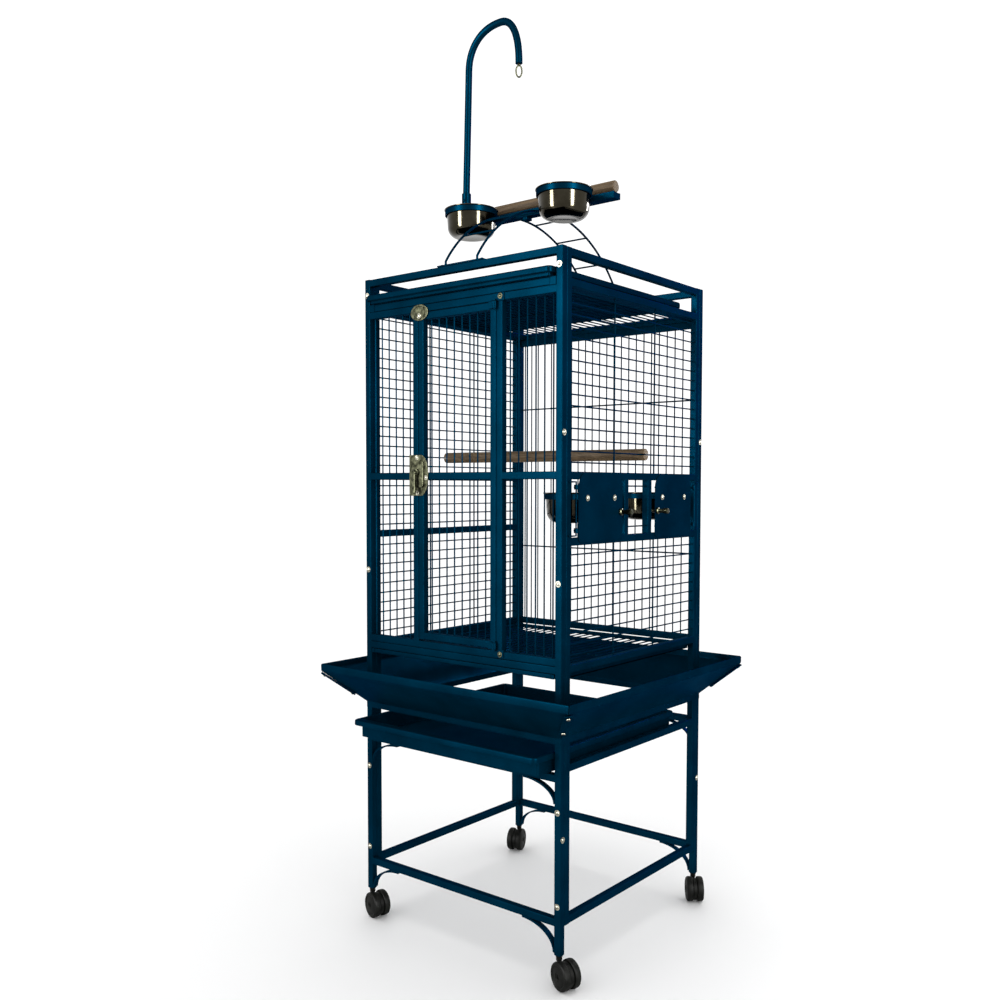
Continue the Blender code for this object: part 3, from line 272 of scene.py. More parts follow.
# ------------------------------------------------------------ geometry nodes for what repeats
def repeat_tree(name, on_line):
    """A node group that repeats a round bar along a line, or a bolt head on each point of a mesh."""
    group = bpy.data.node_groups.new(name, "GeometryNodeTree")
    face = group.interface
    face.new_socket("Geometry", in_out="INPUT", socket_type="NodeSocketGeometry")
    wanted = [("Radius", "NodeSocketFloat"), ("Turn", "NodeSocketVector"), ("Material", "NodeSocketMaterial"),
              ("Sides", "NodeSocketInt")]
    if on_line:
        wanted += [("Count", "NodeSocketInt"), ("Start", "NodeSocketVector"), ("Step", "NodeSocketVector"),
                   ("Length", "NodeSocketFloat")]
    for label, kind in wanted:
        face.new_socket(label, in_out="INPUT", socket_type=kind)
    face.new_socket("Geometry", in_out="OUTPUT", socket_type="NodeSocketGeometry")
    given = add_node(group, "NodeGroupInput").outputs
    turn = add_node(group, "FunctionNodeEulerToRotation", {0: given["Turn"]}).outputs[0]
    if on_line:
        points = add_node(group, "GeometryNodeMeshLine",
                          {"Count": given["Count"], "Start Location": given["Start"],
                           "Offset": given["Step"]},
                          mode="OFFSET").outputs[0]
        shape = add_node(group, "GeometryNodeMeshCylinder",
                         {"Vertices": given["Sides"], "Radius": given["Radius"],
                          "Depth": given["Length"]}).outputs[0]
    else:
        points = given["Geometry"]
        # a low dome on a thin washer, both sized from the head's radius
        washer = add_node(group, "ShaderNodeMath", {0: given["Radius"], 1: 1.45},
                          operation="MULTIPLY").outputs[0]
        thin = add_node(group, "ShaderNodeMath", {0: given["Radius"], 1: 0.22},
                        operation="MULTIPLY").outputs[0]
        disc = add_node(group, "GeometryNodeMeshCylinder",
                        {"Vertices": given["Sides"], "Radius": washer, "Depth": thin}).outputs[0]
        dome = add_node(group, "GeometryNodeMeshUVSphere",
                        {"Segments": given["Sides"], "Rings": 8, "Radius": given["Radius"]}).outputs[0]
        low = add_node(group, "GeometryNodeTransform",
                       {"Geometry": dome, "Scale": (1.0, 1.0, 0.62)}).outputs[0]
        joined = add_node(group, "GeometryNodeJoinGeometry")
        group.links.new(disc, joined.inputs[0])
        group.links.new(low, joined.inputs[0])
        shape = joined.outputs[0]
    spread = add_node(group, "GeometryNodeInstanceOnPoints",
                      {"Points": points, "Instance": shape, "Rotation": turn})
    real = add_node(group, "GeometryNodeRealizeInstances", {0: spread.outputs[0]}).outputs[0]
    painted = add_node(group, "GeometryNodeSetMaterial",
                       {"Geometry": real, "Material": given["Material"]}).outputs[0]
    add_node(group, "NodeGroupOutput", {0: painted})
    return group


TREES = {}


def repeated(kind, points, values):
    """The plain mesh that a repeat tree gives from its named values."""
    if kind not in TREES:
        TREES[kind] = repeat_tree(kind, kind == "wire_row")
    group = TREES[kind]
    mesh = bpy.data.meshes.new(kind)
    mesh.from_pydata(points, [], [])
    obj = bpy.data.objects.new(kind, mesh)
    bpy.context.scene.collection.objects.link(obj)
    modifier = obj.modifiers.new(kind, "NODES")
    modifier.node_group = group
    for item in group.interface.items_tree:
        if item.in_out == "INPUT" and item.name in values:
            modifier[item.identifier] = values[item.name]
    result = as_mesh(obj)
    bpy.data.meshes.remove(mesh)
    return result


def as_mesh(obj):
    """The evaluated object as a plain mesh. The object is removed."""
    bpy.context.view_layer.update()
    mesh = bpy.data.meshes.new_from_object(obj.evaluated_get(bpy.context.evaluated_depsgraph_get()))
    mesh.transform(obj.matrix_world)
    bpy.data.objects.remove(obj, do_unlink=True)
    return mesh


# ------------------------------------------------------------ mesh helpers
def take(bm, mesh):
    """Adds a mesh to the bmesh and drops it."""
    bm.from_mesh(mesh)
    bpy.data.meshes.remove(mesh)


def wires(bm, count, start, step, length, along, radius=None):
    """A row of round wires. along is the axis they run on, and start is the middle of the first."""
    turn = {"X": (0, math.pi / 2, 0), "Y": (math.pi / 2, 0, 0), "Z": (0, 0, 0)}[along]
    take(bm, repeated("wire_row", [],
                      {"Count": count, "Start": start, "Step": step, "Length": length, "Turn": turn,
                                       "Radius": radius or sizes().wire, "Sides": sizes().wire_sides,
                                       "Material": PAINT["coat"]}))


def tube(bm, x0, x1, y0, y1, z0, z1, corner=None, segments=3):
    """A square tube with rounded corners along its length."""
    made = bmesh.ops.create_cube(bm, size=1.0)["verts"]
    size = Vector((x1 - x0, y1 - y0, z1 - z0))
    bmesh.ops.scale(bm, vec=size, verts=made)
    bmesh.ops.translate(bm, vec=((x0 + x1) / 2, (y0 + y1) / 2, (z0 + z1) / 2), verts=made)
    axis = max(range(3), key=lambda i: size[i])
    edges = {e for v in made for e in v.link_edges
             if abs((e.verts[0].co - e.verts[1].co)[axis]) > size[axis] * 0.5}
    bmesh.ops.bevel(bm, geom=list(edges), offset=corner or sizes().corner, segments=segments, profile=0.5,
                    affect="EDGES")


def soft_box(bm, x0, x1, y0, y1, z0, z1, edge=0.0004, segments=2, matrix=None):
    """A block with all its edges eased."""
    made = bmesh.ops.create_cube(bm, size=1.0)["verts"]
    bmesh.ops.scale(bm, vec=(x1 - x0, y1 - y0, z1 - z0), verts=made)
    bmesh.ops.translate(bm, vec=((x0 + x1) / 2, (y0 + y1) / 2, (z0 + z1) / 2), verts=made)
    if matrix is not None:
        bmesh.ops.transform(bm, matrix=matrix, verts=made)
    edges = list({e for v in made for e in v.link_edges})
    bmesh.ops.bevel(bm, geom=edges, offset=edge, segments=segments, profile=0.5, affect="EDGES")


def lathe(bm, profile, matrix, sides=48):
    """A closed turned shape from its (radius, height) profile, turned about Z and then placed."""
    rings = []
    for radius, height in profile:
        if radius < 1e-7:
            rings.append([bm.verts.new(matrix @ Vector((0, 0, height)))])
        else:
            rings.append([bm.verts.new(matrix @ Vector((radius * math.cos(2 * math.pi * i / sides),
                                                        radius * math.sin(2 * math.pi * i / sides), height)))
                          for i in range(sides)])
    loop = profile[0][0] > 1e-7
    pairs = list(zip(rings, rings[1:] + rings[:1])) if loop else list(zip(rings, rings[1:]))
    for low, high in pairs:
        for i in range(sides):
            j = (i + 1) % sides
            corners = list(dict.fromkeys([low[i % len(low)], low[j % len(low)], high[j % len(high)],
                                          high[i % len(high)]]))
            if len(corners) > 2:
                bm.faces.new(corners)


def rounded_rod(bm, start, end, radius, edge=0.0006, sides=24):
    """A round bar with eased ends."""
    start, end = Vector(start), Vector(end)
    along = end - start
    matrix = Matrix.Translation(start) @ along.to_track_quat("Z", "Y").to_matrix().to_4x4()
    n = along.length
    ease = [(radius - edge + edge * math.sin(a), edge - edge * math.cos(a))
            for a in (0, math.pi / 4, math.pi / 2)]
    profile = [(0.0, 0.0), *ease, *[(r, n - z) for r, z in ease[::-1]], (0.0, n)]
    lathe(bm, profile, matrix, sides)


def sweep(bm, points, radius, sides=16, cyclic=False):
    """A round wire along the points, with closed ends."""
    curve = bpy.data.curves.new("sweep", "CURVE")
    curve.dimensions = "3D"
    curve.bevel_depth = radius
    curve.bevel_resolution = (sides - 4) // 2
    curve.use_fill_caps = not cyclic
    spline = curve.splines.new("POLY")
    spline.points.add(len(points) - 1)
    for point, place in zip(spline.points, points):
        point.co = (*place, 1.0)
    spline.use_cyclic_u = cyclic
    take_curve(bm, curve, Matrix.Identity(4))


def take_curve(bm, curve, matrix):
    obj = bpy.data.objects.new("outline", curve)
    bpy.context.scene.collection.objects.link(obj)
    mesh = as_mesh(obj)
    bpy.data.curves.remove(curve)
    part = bmesh.new()
    part.from_mesh(mesh)
    bmesh.ops.remove_doubles(part, verts=part.verts, dist=1e-6)
    bmesh.ops.transform(part, matrix=matrix, verts=part.verts)
    bmesh.ops.recalc_face_normals(part, faces=part.faces)
    part.to_mesh(mesh)
    part.free()
    take(bm, mesh)


PLANES = {
    "front": Matrix(((1, 0, 0, 0), (0, 0, 1, 0), (0, 1, 0, 0), (0, 0, 0, 1))),
    "side": Matrix(((0, 0, 1, 0), (1, 0, 0, 0), (0, 1, 0, 0), (0, 0, 0, 1))),
    "flat": Matrix.Identity(4),
}


def plate(bm, outline, low, high, plane, holes=(), edge=0.0003, matrix=None):
    """A flat sheet from its outline, with eased edges, between two distances along the plane's normal."""
    curve = bpy.data.curves.new("plate", "CURVE")
    curve.dimensions = "2D"
    curve.fill_mode = "BOTH"
    curve.bevel_depth = edge
    curve.bevel_resolution = 1
    curve.offset = -edge
    curve.extrude = (high - low) / 2 - edge
    for loop in [outline, *holes]:
        spline = curve.splines.new("POLY")
        spline.points.add(len(loop) - 1)
        for point, (u, v) in zip(spline.points, loop):
            point.co = (u, v, 0.0, 1.0)
        spline.use_cyclic_u = True
    place = PLANES[plane] @ Matrix.Translation((0, 0, (low + high) / 2))
    take_curve(bm, curve, place if matrix is None else matrix @ place)


def circle(u, v, radius, sides=24, stretch=1.0):
    return [(u + radius * stretch * math.cos(2 * math.pi * i / sides),
             v + radius * math.sin(2 * math.pi * i / sides)) for i in range(sides)]


def rounded(u0, u1, v0, v1, top, foot, steps=8):
    """A rectangle's outline with rounded corners, wider ones at the top."""
    points = []
    for u, v, r, start in ((u1, v0, foot, 270), (u1, v1, top, 0), (u0, v1, top, 90), (u0, v0, foot, 180)):
        cu = u - r if u == u1 else u + r
        cv = v + r if v == v0 else v - r
        points += [(cu + r * math.cos(math.radians(start + 90 * i / steps)),
                    cv + r * math.sin(math.radians(start + 90 * i / steps))) for i in range(steps + 1)]
    return points


def folded(bm, rows, thickness, closed_rows=True, offset=-1.0):
    """A sheet from rows of points, thickened into a closed shell."""
    part = bmesh.new()
    made = [[part.verts.new(p) for p in row] for row in rows]
    for a, b in zip(made, made[1:]):
        for i in range(len(a) if closed_rows else len(a) - 1):
            j = (i + 1) % len(a)
            part.faces.new((a[i], a[j], b[j], b[i]))
    if closed_rows:
        part.faces.new(made[0])
    bmesh.ops.recalc_face_normals(part, faces=part.faces)
    mesh = bpy.data.meshes.new("folded")
    part.to_mesh(mesh)
    part.free()
    obj = bpy.data.objects.new("folded", mesh)
    bpy.context.scene.collection.objects.link(obj)
    wall = obj.modifiers.new("Wall", "SOLIDIFY")
    wall.thickness = thickness
    wall.offset = offset
    wall.use_even_offset = True
    result = as_mesh(obj)
    bpy.data.meshes.remove(mesh)
    take(bm, result)


def finish_piece(name, bm, paint, body, replaced=(), sharp=38):
    """Turns the bmesh into a painted piece that rides on its body."""
    mesh = bpy.data.meshes.new(name)
    bm.to_mesh(mesh)
    bm.free()
    mesh.materials.clear()
    mesh.materials.append(PAINT[paint])
    mesh.shade_smooth()
    mesh.set_sharp_from_angle(angle=math.radians(sharp))
    obj = bpy.data.objects.new(name, mesh)
    bpy.context.scene.collection.objects.link(obj)
    # large faces keep their own direction, so the eased edges alone carry the rounding
    even = obj.modifiers.new("Even_faces", "WEIGHTED_NORMAL")
    even.keep_sharp = True
    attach(obj, body)
    if replaced:
        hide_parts(*replaced)
    return obj


def heads(name, points, facing, body, paint="zinc", radius=None):
    """Domed bolt heads with washers on the points, facing -Y, +Y, +X, -X or +Z."""
    turn = {"-Y": (math.pi / 2, 0, 0), "+Y": (-math.pi / 2, 0, 0), "+X": (0, math.pi / 2, 0),
            "-X": (0, -math.pi / 2, 0), "+Z": (0, 0, 0)}[facing]
    bm = bmesh.new()
    take(bm, repeated("bolt_heads", points, {"Radius": radius or sizes().bolt, "Turn": turn, "Sides": 16,
                                             "Material": PAINT[paint]}))
    return finish_piece(name, bm, paint, body)


PAINT = {}


# ------------------------------------------------------------ frames
def centred(half, low=0.0, pitch=PITCH):
    """Places of an even row of wires on one side of the middle."""
    places = [(i + 0.5) * pitch for i in range(int(half / pitch + 0.5))]
    return [p for p in places if low + 0.0025 < p < half - 0.0025]


def span(side, near, far):
    """Two distances from the middle, mirrored for this side, with the lower one first."""
    return sorted((side * near, side * far))


def front_tubes(bm, y0, y1, rails, x):
    for side in (-1, 1):
        a, b = span(side, IN, HALF)
        tube(bm, a, b, y0, y1, Z_LEG, Z_TOP)
    for z in rails:
        tube(bm, -x, x, y0, y1, z, z + TUBE)


def vertical_wires(bm, places, y, z0, z1, radius=None):
    """Upright wires at the places and their mirror image, in one plane."""
    step = places[1] - places[0]
    for side in (-1, 1):
        wires(bm, len(places), (side * places[0], y, (z0 + z1) / 2), (side * step, 0, 0), z1 - z0 + 0.004,
              "Z", radius)


class CAGE_OT_end_frames(bpy.types.Operator):
    """Front and back frames, from legs to rim"""

    bl_idname = "cage.end_frames"
    bl_label = "Front and back frames"

    def execute(self, context):
        bm = bmesh.new()
        front_tubes(bm, -HALF, -IN,
                    (Z_LOWER, Z_TRAY_FRONT, Z_BASE, Z_BASE + TUBE + TOUCH, Z_PANEL_TOP, Z_RIM), IN + 0.001)
        for side in (-1, 1):
            a, b = span(side, JAMB, JAMB + TUBE)
            tube(bm, a, b, -HALF, -IN, Z_SILL - 0.001, Z_PANEL_TOP + 0.001)
            a, b = span(side, JAMB + TUBE - 0.001, IN + 0.001)
            tube(bm, a, b, -HALF, -IN, Z_BELT_HIGH, Z_BELT_HIGH + TUBE)
        vertical_wires(bm, centred(IN, JAMB + TUBE), FRONT_Y, Z_SILL, Z_PANEL_TOP)
        finish_piece("front_frame_tubes", bm, "coat", "cage", ["front_frame"])
        bm = bmesh.new()
        front_tubes(bm, IN, HALF, (Z_LOWER, Z_TRAY_SIDE, Z_BASE, Z_PANEL_TOP, Z_RIM), IN + 0.001)
        y = -FRONT_Y
        vertical_wires(bm, centred(IN), y, Z_BASE + TUBE, Z_PANEL_TOP)
        r = sizes().brace_wire
        for z in (0.682, 0.9825):
            wires(bm, 1, (0, y + 2.0 * r, z), (0, 0, 0.01), 2 * IN + 0.004, "X", r)
        finish_piece("back_frame_tubes", bm, "coat", "cage", ["back_frame"])
        return {"FINISHED"}


def side_rows(z0, z1, from_low):
    count = int((z1 - z0 - 0.0025 - FIRST_WIRE) / SIDE_PITCH) + 1
    return (count, z0 + FIRST_WIRE, SIDE_PITCH) if from_low else (count, z1 - FIRST_WIRE, -SIDE_PITCH)


UPPER = side_rows(Z_BELT_HIGH + TUBE, Z_SIDE_TOP, True)
LOWER = side_rows(Z_BASE + TUBE, Z_BELT_LOW, False)
PERCH_Z = UPPER[1] + SIDE_PITCH


class CAGE_OT_side_frames(bpy.types.Operator):
    """Right and left frames, with the feeder belt on the right and the tray runners on both"""

    bl_idname = "cage.side_frames"
    bl_label = "Side frames"

    def execute(self, context):
        for name, side in (("right_frame", 1), ("left_frame", -1)):
            bm = bmesh.new()
            x0, x1 = span(side, IN, HALF)
            x = side * (IN + HALF) / 2
            for end in (-1, 1):
                a, b = span(end, BAY, END)
                tube(bm, x0, x1, a, b, Z_LOWER, Z_TOP)
            for z in (Z_LOWER, Z_TRAY_SIDE, Z_BASE, Z_BELT_LOW, Z_BELT_HIGH, Z_SIDE_TOP, Z_RIM):
                tube(bm, x0, x1, -BAY - 0.001, BAY + 0.001, z, z + TUBE)
            for count, z, step in (UPPER, LOWER):
                wires(bm, count, (x, 0, z), (0, 0, step), 2 * BAY + 0.004, "Y")
            belt = (Z_BELT_LOW + TUBE, Z_BELT_HIGH)
            if side > 0:
                for end in (-1, 1):
                    a, b = span(end, WINDOW, WINDOW + TUBE)
                    tube(bm, x0, x1, a, b, belt[0] - 0.001, belt[1] + 0.001)
                wires(bm, 2, (x, 0, 0.7435), (0, 0, 0.071), 2 * WINDOW + 0.004, "Y")
            else:
                wires(bm, 5, (x, 0, sum(belt) / 2 - 2 * SIDE_PITCH), (0, 0, SIDE_PITCH), 2 * BAY + 0.004, "Y")
            r = sizes().brace_wire
            spans = [(Z_BASE + TUBE, Z_BELT_LOW), (Z_BELT_HIGH + TUBE, Z_SIDE_TOP)]
            if side < 0:
                spans.append(belt)
            for z0, z1 in spans:
                wires(bm, 2, (x - side * 1.8 * r, -0.0655, (z0 + z1) / 2), (0, 0.131, 0), z1 - z0 + 0.004,
                      "Z", r)
            for top, into in ((0.3489, Z_TRAY_SIDE + TUBE / 2), (0.5016, Z_BASE + TUBE / 2)):
                bend = side * (IN - 0.0012)
                a, b = sorted((bend, side * (IN + 0.0002)))
                soft_box(bm, a, b, -BAY, BAY, top - 0.0027, into)
                a, b = span(side, IN - 0.015, IN + 0.0002)
                soft_box(bm, a, b, -BAY, BAY, top - 0.0027, top)
            finish_piece(f"{name}_tubes", bm, "coat", "cage", [name])
        return {"FINISHED"}


class CAGE_OT_grilles(bpy.types.Operator):
    """Roof grille and sliding floor grate"""

    bl_idname = "cage.grilles"
    bl_label = "Roof grille and floor grate"

    def execute(self, context):
        for name, body in (("roof_grille", "cage"), ("floor_grate", "floor_grate")):
            low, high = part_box(name)
            bar = TUBE if name == "roof_grille" else 0.0075
            corner = sizes().corner if name == "roof_grille" else 0.0008
            bm = bmesh.new()
            for side in (-1, 1):
                a, b = span(side, high.x, high.x - bar)
                tube(bm, a, b, low.y, high.y, low.z, high.z, corner)
            for y0, y1 in ((low.y, low.y + bar), (high.y - bar, high.y)):
                tube(bm, low.x + bar - 0.001, high.x - bar + 0.001, y0, y1, low.z, high.z, corner)
            z, middle, length = (low.z + high.z) / 2, (low.y + high.y) / 2, high.y - low.y - bar
            places = centred(high.x - bar)
            for side in (-1, 1):
                wires(bm, len(places), (side * places[0], middle, z), (side * PITCH, 0, 0), length, "Y")
            r = sizes().brace_wire
            wires(bm, 1, (0, 0, z - 1.6 * r), (0, 0.01, 0), 2 * (high.x - bar) + 0.004, "X", r)
            finish_piece(f"{name}_bars", bm, "coat", body, [name])
        return {"FINISHED"}


# ------------------------------------------------------------ main door and its fittings
HINGE = Vector((0.09105, -0.2327, 0.0))
DOOR_LOW, DOOR_HIGH = Z_SILL + 0.003, Z_PANEL_TOP - 0.0008
KNUCKLES = ((DOOR_LOW, -1), (DOOR_HIGH - 0.012, 1))
FACE = -HALF - TOUCH


class CAGE_OT_main_door(bpy.types.Operator):
    """Main door with its wires and knuckles, and the frame's hinge lugs"""

    bl_idname = "cage.main_door"
    bl_label = "Main door"

    def execute(self, context):
        bm = bmesh.new()
        for side in (-1, 1):
            a, b = span(side, DOOR - TUBE, DOOR)
            tube(bm, a, b, -HALF, -IN, DOOR_LOW, DOOR_HIGH)
        for z in (DOOR_LOW, Z_BELT_HIGH, DOOR_HIGH - TUBE):
            tube(bm, -DOOR + TUBE - 0.001, DOOR - TUBE + 0.001, -HALF, -IN, z, z + TUBE)
        vertical_wires(bm, centred(DOOR - TUBE), FRONT_Y, DOOR_LOW + TUBE, DOOR_HIGH - TUBE)
        for z0, _ in KNUCKLES:
            lathe(bm, [(0.0024, 0), (0.0036, 0), (0.0040, 0.0004), (0.0040, 0.0116), (0.0036, 0.012),
                       (0.0024, 0.012)],
                  Matrix.Translation((HINGE.x, HINGE.y, z0)), 28)
            soft_box(bm, HINGE.x - 0.0120, HINGE.x - 0.0030, HINGE.y - 0.0013, -HALF + 0.001, z0 + 0.0003,
                     z0 + 0.0117)
        finish_piece("main_door_panel", bm, "coat", "main_door", ["main_door"])
        for (z0, side), name in zip(KNUCKLES, ("lower", "upper")):
            low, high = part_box(f"door_hinge_{name}")
            bm = bmesh.new()
            lug = (z0 - 0.0028, z0 - 0.0004) if side < 0 else (z0 + 0.0124, z0 + 0.0148)
            leaf = (lug[0] - 0.010, lug[1]) if side < 0 else (lug[0], lug[1] + 0.010)
            soft_box(bm, HINGE.x - 0.006, HINGE.x + 0.018, FACE - 0.0015, FACE, *leaf)
            soft_box(bm, HINGE.x - 0.004, HINGE.x + 0.004, HINGE.y - 0.004, FACE - 0.0005, *lug)
            rounded_rod(bm, (HINGE.x, HINGE.y, low.z if side > 0 else lug[0]),
                        (HINGE.x, HINGE.y, high.z if side < 0 else lug[1]), 0.0020)
            finish_piece(f"door_hinge_{name}_lug", bm, "coat", "cage", [f"door_hinge_{name}"])
            middle = (leaf[0] + 0.005) if side < 0 else (leaf[1] - 0.005)
            heads(f"door_hinge_{name}_bolt", [(HINGE.x + 0.0105, FACE - 0.0015, middle)], "-Y", "cage",
                  radius=0.0033)
        return {"FINISHED"}


LOCK_X, LOCK_Z, LOCK_W, LOCK_H, LOCK_T = -0.0885, 0.8325, 0.046, 0.073, 0.0048
LEVER = (LOCK_X - 0.002, LOCK_Z + 0.005)
BUTTON = (-0.0856, DOOR_HIGH - TUBE / 2)


class CAGE_OT_lock(bpy.types.Operator):
    """Rim lock on the door, its lever, and the turn button at the top"""

    bl_idname = "cage.lock"
    bl_label = "Door lock and turn button"

    def execute(self, context):
        w, h = LOCK_W / 2, LOCK_H / 2
        left, shoulder = LOCK_X - w, LOCK_X + w * 0.25
        outline = [(left, LOCK_Z - h), (shoulder, LOCK_Z - h)]
        outline += [(shoulder + w * 0.75 * math.sin(math.radians(a)), LOCK_Z - h * math.cos(math.radians(a)))
                    for a in range(8, 180, 8)]
        outline += [(shoulder, LOCK_Z + h), (left, LOCK_Z + h)]
        bm = bmesh.new()
        plate(bm, outline, FACE - 0.0018, FACE, "front", [circle(*LEVER, 0.0036)], edge=0.0005)
        # raised housing, with a hole for the lever's hub
        plate(bm, rounded(LOCK_X - 0.017, LOCK_X + 0.014, LOCK_Z - 0.022, LOCK_Z + 0.026, 0.006, 0.006),
              FACE - LOCK_T, FACE - 0.0012, "front", [circle(*LEVER, 0.0036)], edge=0.0009)
        finish_piece("lock_housing", bm, "zinc", "main_door", ["door_lock_plate"])
        heads("lock_screws",
              [(LOCK_X - 0.004, FACE - 0.0018, LOCK_Z + 0.0315),
               (LOCK_X - 0.002, FACE - 0.0018, LOCK_Z - 0.0315),
                              (LOCK_X + 0.0185, FACE - 0.0018, LOCK_Z - 0.004)], "-Y", "main_door", "steel",
              0.0030)
        front = FACE - LOCK_T - TOUCH
        bm = bmesh.new()
        place = Matrix.Translation((LEVER[0], front, LEVER[1])) @ Matrix.Rotation(math.pi / 2, 4, "X")
        lathe(bm, [(0.0, 0.0), (0.0072, 0.0), (0.0075, 0.0006), (0.0070, 0.0034), (0.0052, 0.0044),
                   (0.0050, 0.0072),
                   (0.0040, 0.0084), (0.0, 0.0088)], place, 36)
        rounded_rod(bm, (LEVER[0], FACE - 0.0006, LEVER[1]), (LEVER[0], front - 0.001, LEVER[1]), 0.0030)
        grip = [(0.0038, 0.0), (0.0034, -0.012), (0.0046, -0.030), (0.0040, -0.0355), (0.0, -0.0375)]
        outline = [(LEVER[0] + u, LEVER[1] + v) for u, v in grip] + [(LEVER[0] - u, LEVER[1] + v) for u,
                                                                     v in grip[-2::-1]]
        plate(bm, outline, front - 0.0084, front - 0.0030, "front", edge=0.0011)
        finish_piece("lock_lever", bm, "zinc", "door_lock_lever", ["door_lock_lever"])
        bm = bmesh.new()
        plate(bm, circle(BUTTON[0], BUTTON[1] + 0.006, 0.0145, 48, 42 / 29), FACE - 0.0022, FACE, "front",
              edge=0.0007)
        place = Matrix.Translation((BUTTON[0], FACE - 0.0018,
                                    BUTTON[1] + 0.006)) @ Matrix.Rotation(math.pi / 2, 4, "X")
        lathe(bm, [(0.0098, 0.0), (0.0108, 0.0010), (0.0118, 0.0)], place @ Matrix.Scale(1.35, 4, (1, 0, 0)),
              48)
        finish_piece("turn_button", bm, "zinc", "door_top_button", ["door_top_button"])
        heads("turn_button_screw", [(BUTTON[0], FACE - 0.0022, BUTTON[1])], "-Y", "door_top_button", "steel",
              0.0032)
        return {"FINISHED"}


# ------------------------------------------------------------ sheet metal
class CAGE_OT_guards(bpy.types.Operator):
    """Seed guards with hemmed lips, and the clips under their mitres"""

    bl_idname = "cage.guards"
    bl_label = "Seed guards"

    def execute(self, context):
        for name, turns in (("front", 0), ("right", 1), ("back", 2), ("left", 3)):
            low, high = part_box(f"guard_{name}")
            reach = max(abs(low.x), abs(high.x), abs(low.y), abs(high.y)) - HALF - 0.0012
            profile = [(0.0003, low.z), (0.0003, 0.4072), (0.0009, 0.4082), (0.0020, 0.4092),
                       (reach - 0.0022, high.z - 0.0142), (reach - 0.0009, high.z - 0.0128),
                       (reach - 0.0004, high.z - 0.0112),
                       (reach - 0.0002, high.z - 0.0012), (reach - 0.0012, high.z - 0.0002),
                       (reach - 0.0026, high.z - 0.0012),
                       (reach - 0.0028, high.z - 0.0070)]
            spin = Matrix.Rotation(turns * math.pi / 2, 4, "Z")
            rows = [[spin @ Vector((side * (HALF + d - 0.0012), -HALF - d, z)) for d, z in profile]
                    for side in (-1, 1)]
            bm = bmesh.new()
            folded(bm, rows, 0.0009, closed_rows=False, offset=0.0)
            finish_piece(f"guard_{name}_sheet", bm, "coat", "cage", [f"guard_{name}"], sharp=50)
        inner, outer = Vector((HALF + 0.0015, HALF + 0.0015, 0.4085)), Vector((HALF + 0.0617, HALF + 0.0617,
                                                                               0.4665))
        along, down = (outer - inner).normalized(), Vector((1, 1, -2)).normalized()
        a, b = inner + along * 0.0225, outer - along * 0.0045
        for corner, (sx, sy) in CORNERS.items():
            mirror = Matrix.Diagonal((sx, sy, 1, 1))
            turn = Matrix((along, along.cross(down), down)).transposed().to_4x4()
            place = mirror @ Matrix.Translation((a + b) / 2 + down * 0.00135) @ turn
            half = (b - a).length / 2
            bm = bmesh.new()
            soft_box(bm, -half, half, -0.0072, 0.0072, -0.0007, 0.0007, 0.0003, matrix=place)
            bmesh.ops.recalc_face_normals(bm, faces=bm.faces)
            finish_piece(f"guard_clip_{corner}_strap", bm, "coat", "cage", [f"guard_clip_{corner}"])
            bm = bmesh.new()
            for end in (-1, 1):
                centre = mirror @ ((a + b) / 2 + along * end * (half - 0.007) + down * 0.0022)
                rounded_rod(bm, centre, centre + mirror.to_3x3() @ down * 0.0024, 0.0034, 0.0010, 20)
            bmesh.ops.recalc_face_normals(bm, faces=bm.faces)
            finish_piece(f"guard_clip_{corner}_bolts", bm, "steel", "cage")
        return {"FINISHED"}


def pan_ring(half, front, back, z, corner, steps=5):
    """One level of a tray: a rectangle with rounded corners."""
    points = []
    for x, y, start in ((half, front, 270), (half, back, 0), (-half, back, 90), (-half, front, 180)):
        cx = x - math.copysign(corner, x)
        cy = y + corner if y == front else y - corner
        points += [Vector((cx + corner * math.cos(math.radians(start + 90 * i / steps)),
                           cy + corner * math.sin(math.radians(start + 90 * i / steps)), z))
                   for i in range(steps + 1)]
    return points


class CAGE_OT_trays(bpy.types.Operator):
    """Waste tray and the shallow tray on the roof, folded from sheet"""

    bl_idname = "cage.trays"
    bl_label = "Trays"

    def execute(self, context):
        half, inset = 0.2075, 0.0062
        for name, front_inset, corner in (("waste_tray", 0.0155, 0.004), ("roof_tray", inset, 0.003)):
            low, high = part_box(name)
            front, back = low.y + front_inset, high.y - inset
            out, hem = high.x, high.z - 0.010
            t = 0.0005
            rows = [pan_ring(half - 0.0020, front + 0.0020, back - 0.0020, low.z + t, corner),
                    pan_ring(half - 0.0006, front + 0.0006, back - 0.0006, low.z + 0.0009, corner),
                    pan_ring(half - t, front + t, back - t, low.z + 0.0022, corner),
                    pan_ring(half - t, front + t, back - t, high.z - 0.0022, corner),
                    pan_ring(half, front, back, high.z - 0.0009, corner),
                    pan_ring(half + 0.0012, front - 0.0012, back + 0.0012, high.z - t, corner + 0.0012),
                    pan_ring(out - 0.0022, low.y + 0.0030, high.y - 0.0022, high.z - t, corner + 0.004),
                    pan_ring(out - 0.0010, low.y + 0.0012, high.y - 0.0010, high.z - 0.0013, corner + 0.005),
                    pan_ring(out - t, low.y + t, high.y - t, high.z - 0.0030, corner + 0.005),
                    pan_ring(out - t, low.y + t, high.y - t, hem + 0.0010, corner + 0.005),
                    pan_ring(out - 0.0012, low.y + 0.0016, high.y - 0.0012, hem, corner + 0.004)]
            bm = bmesh.new()
            folded(bm, rows, 0.0009, offset=0.0)
            finish_piece(f"{name}_pan", bm, "coat", name, [name], sharp=45)
        return {"FINISHED"}


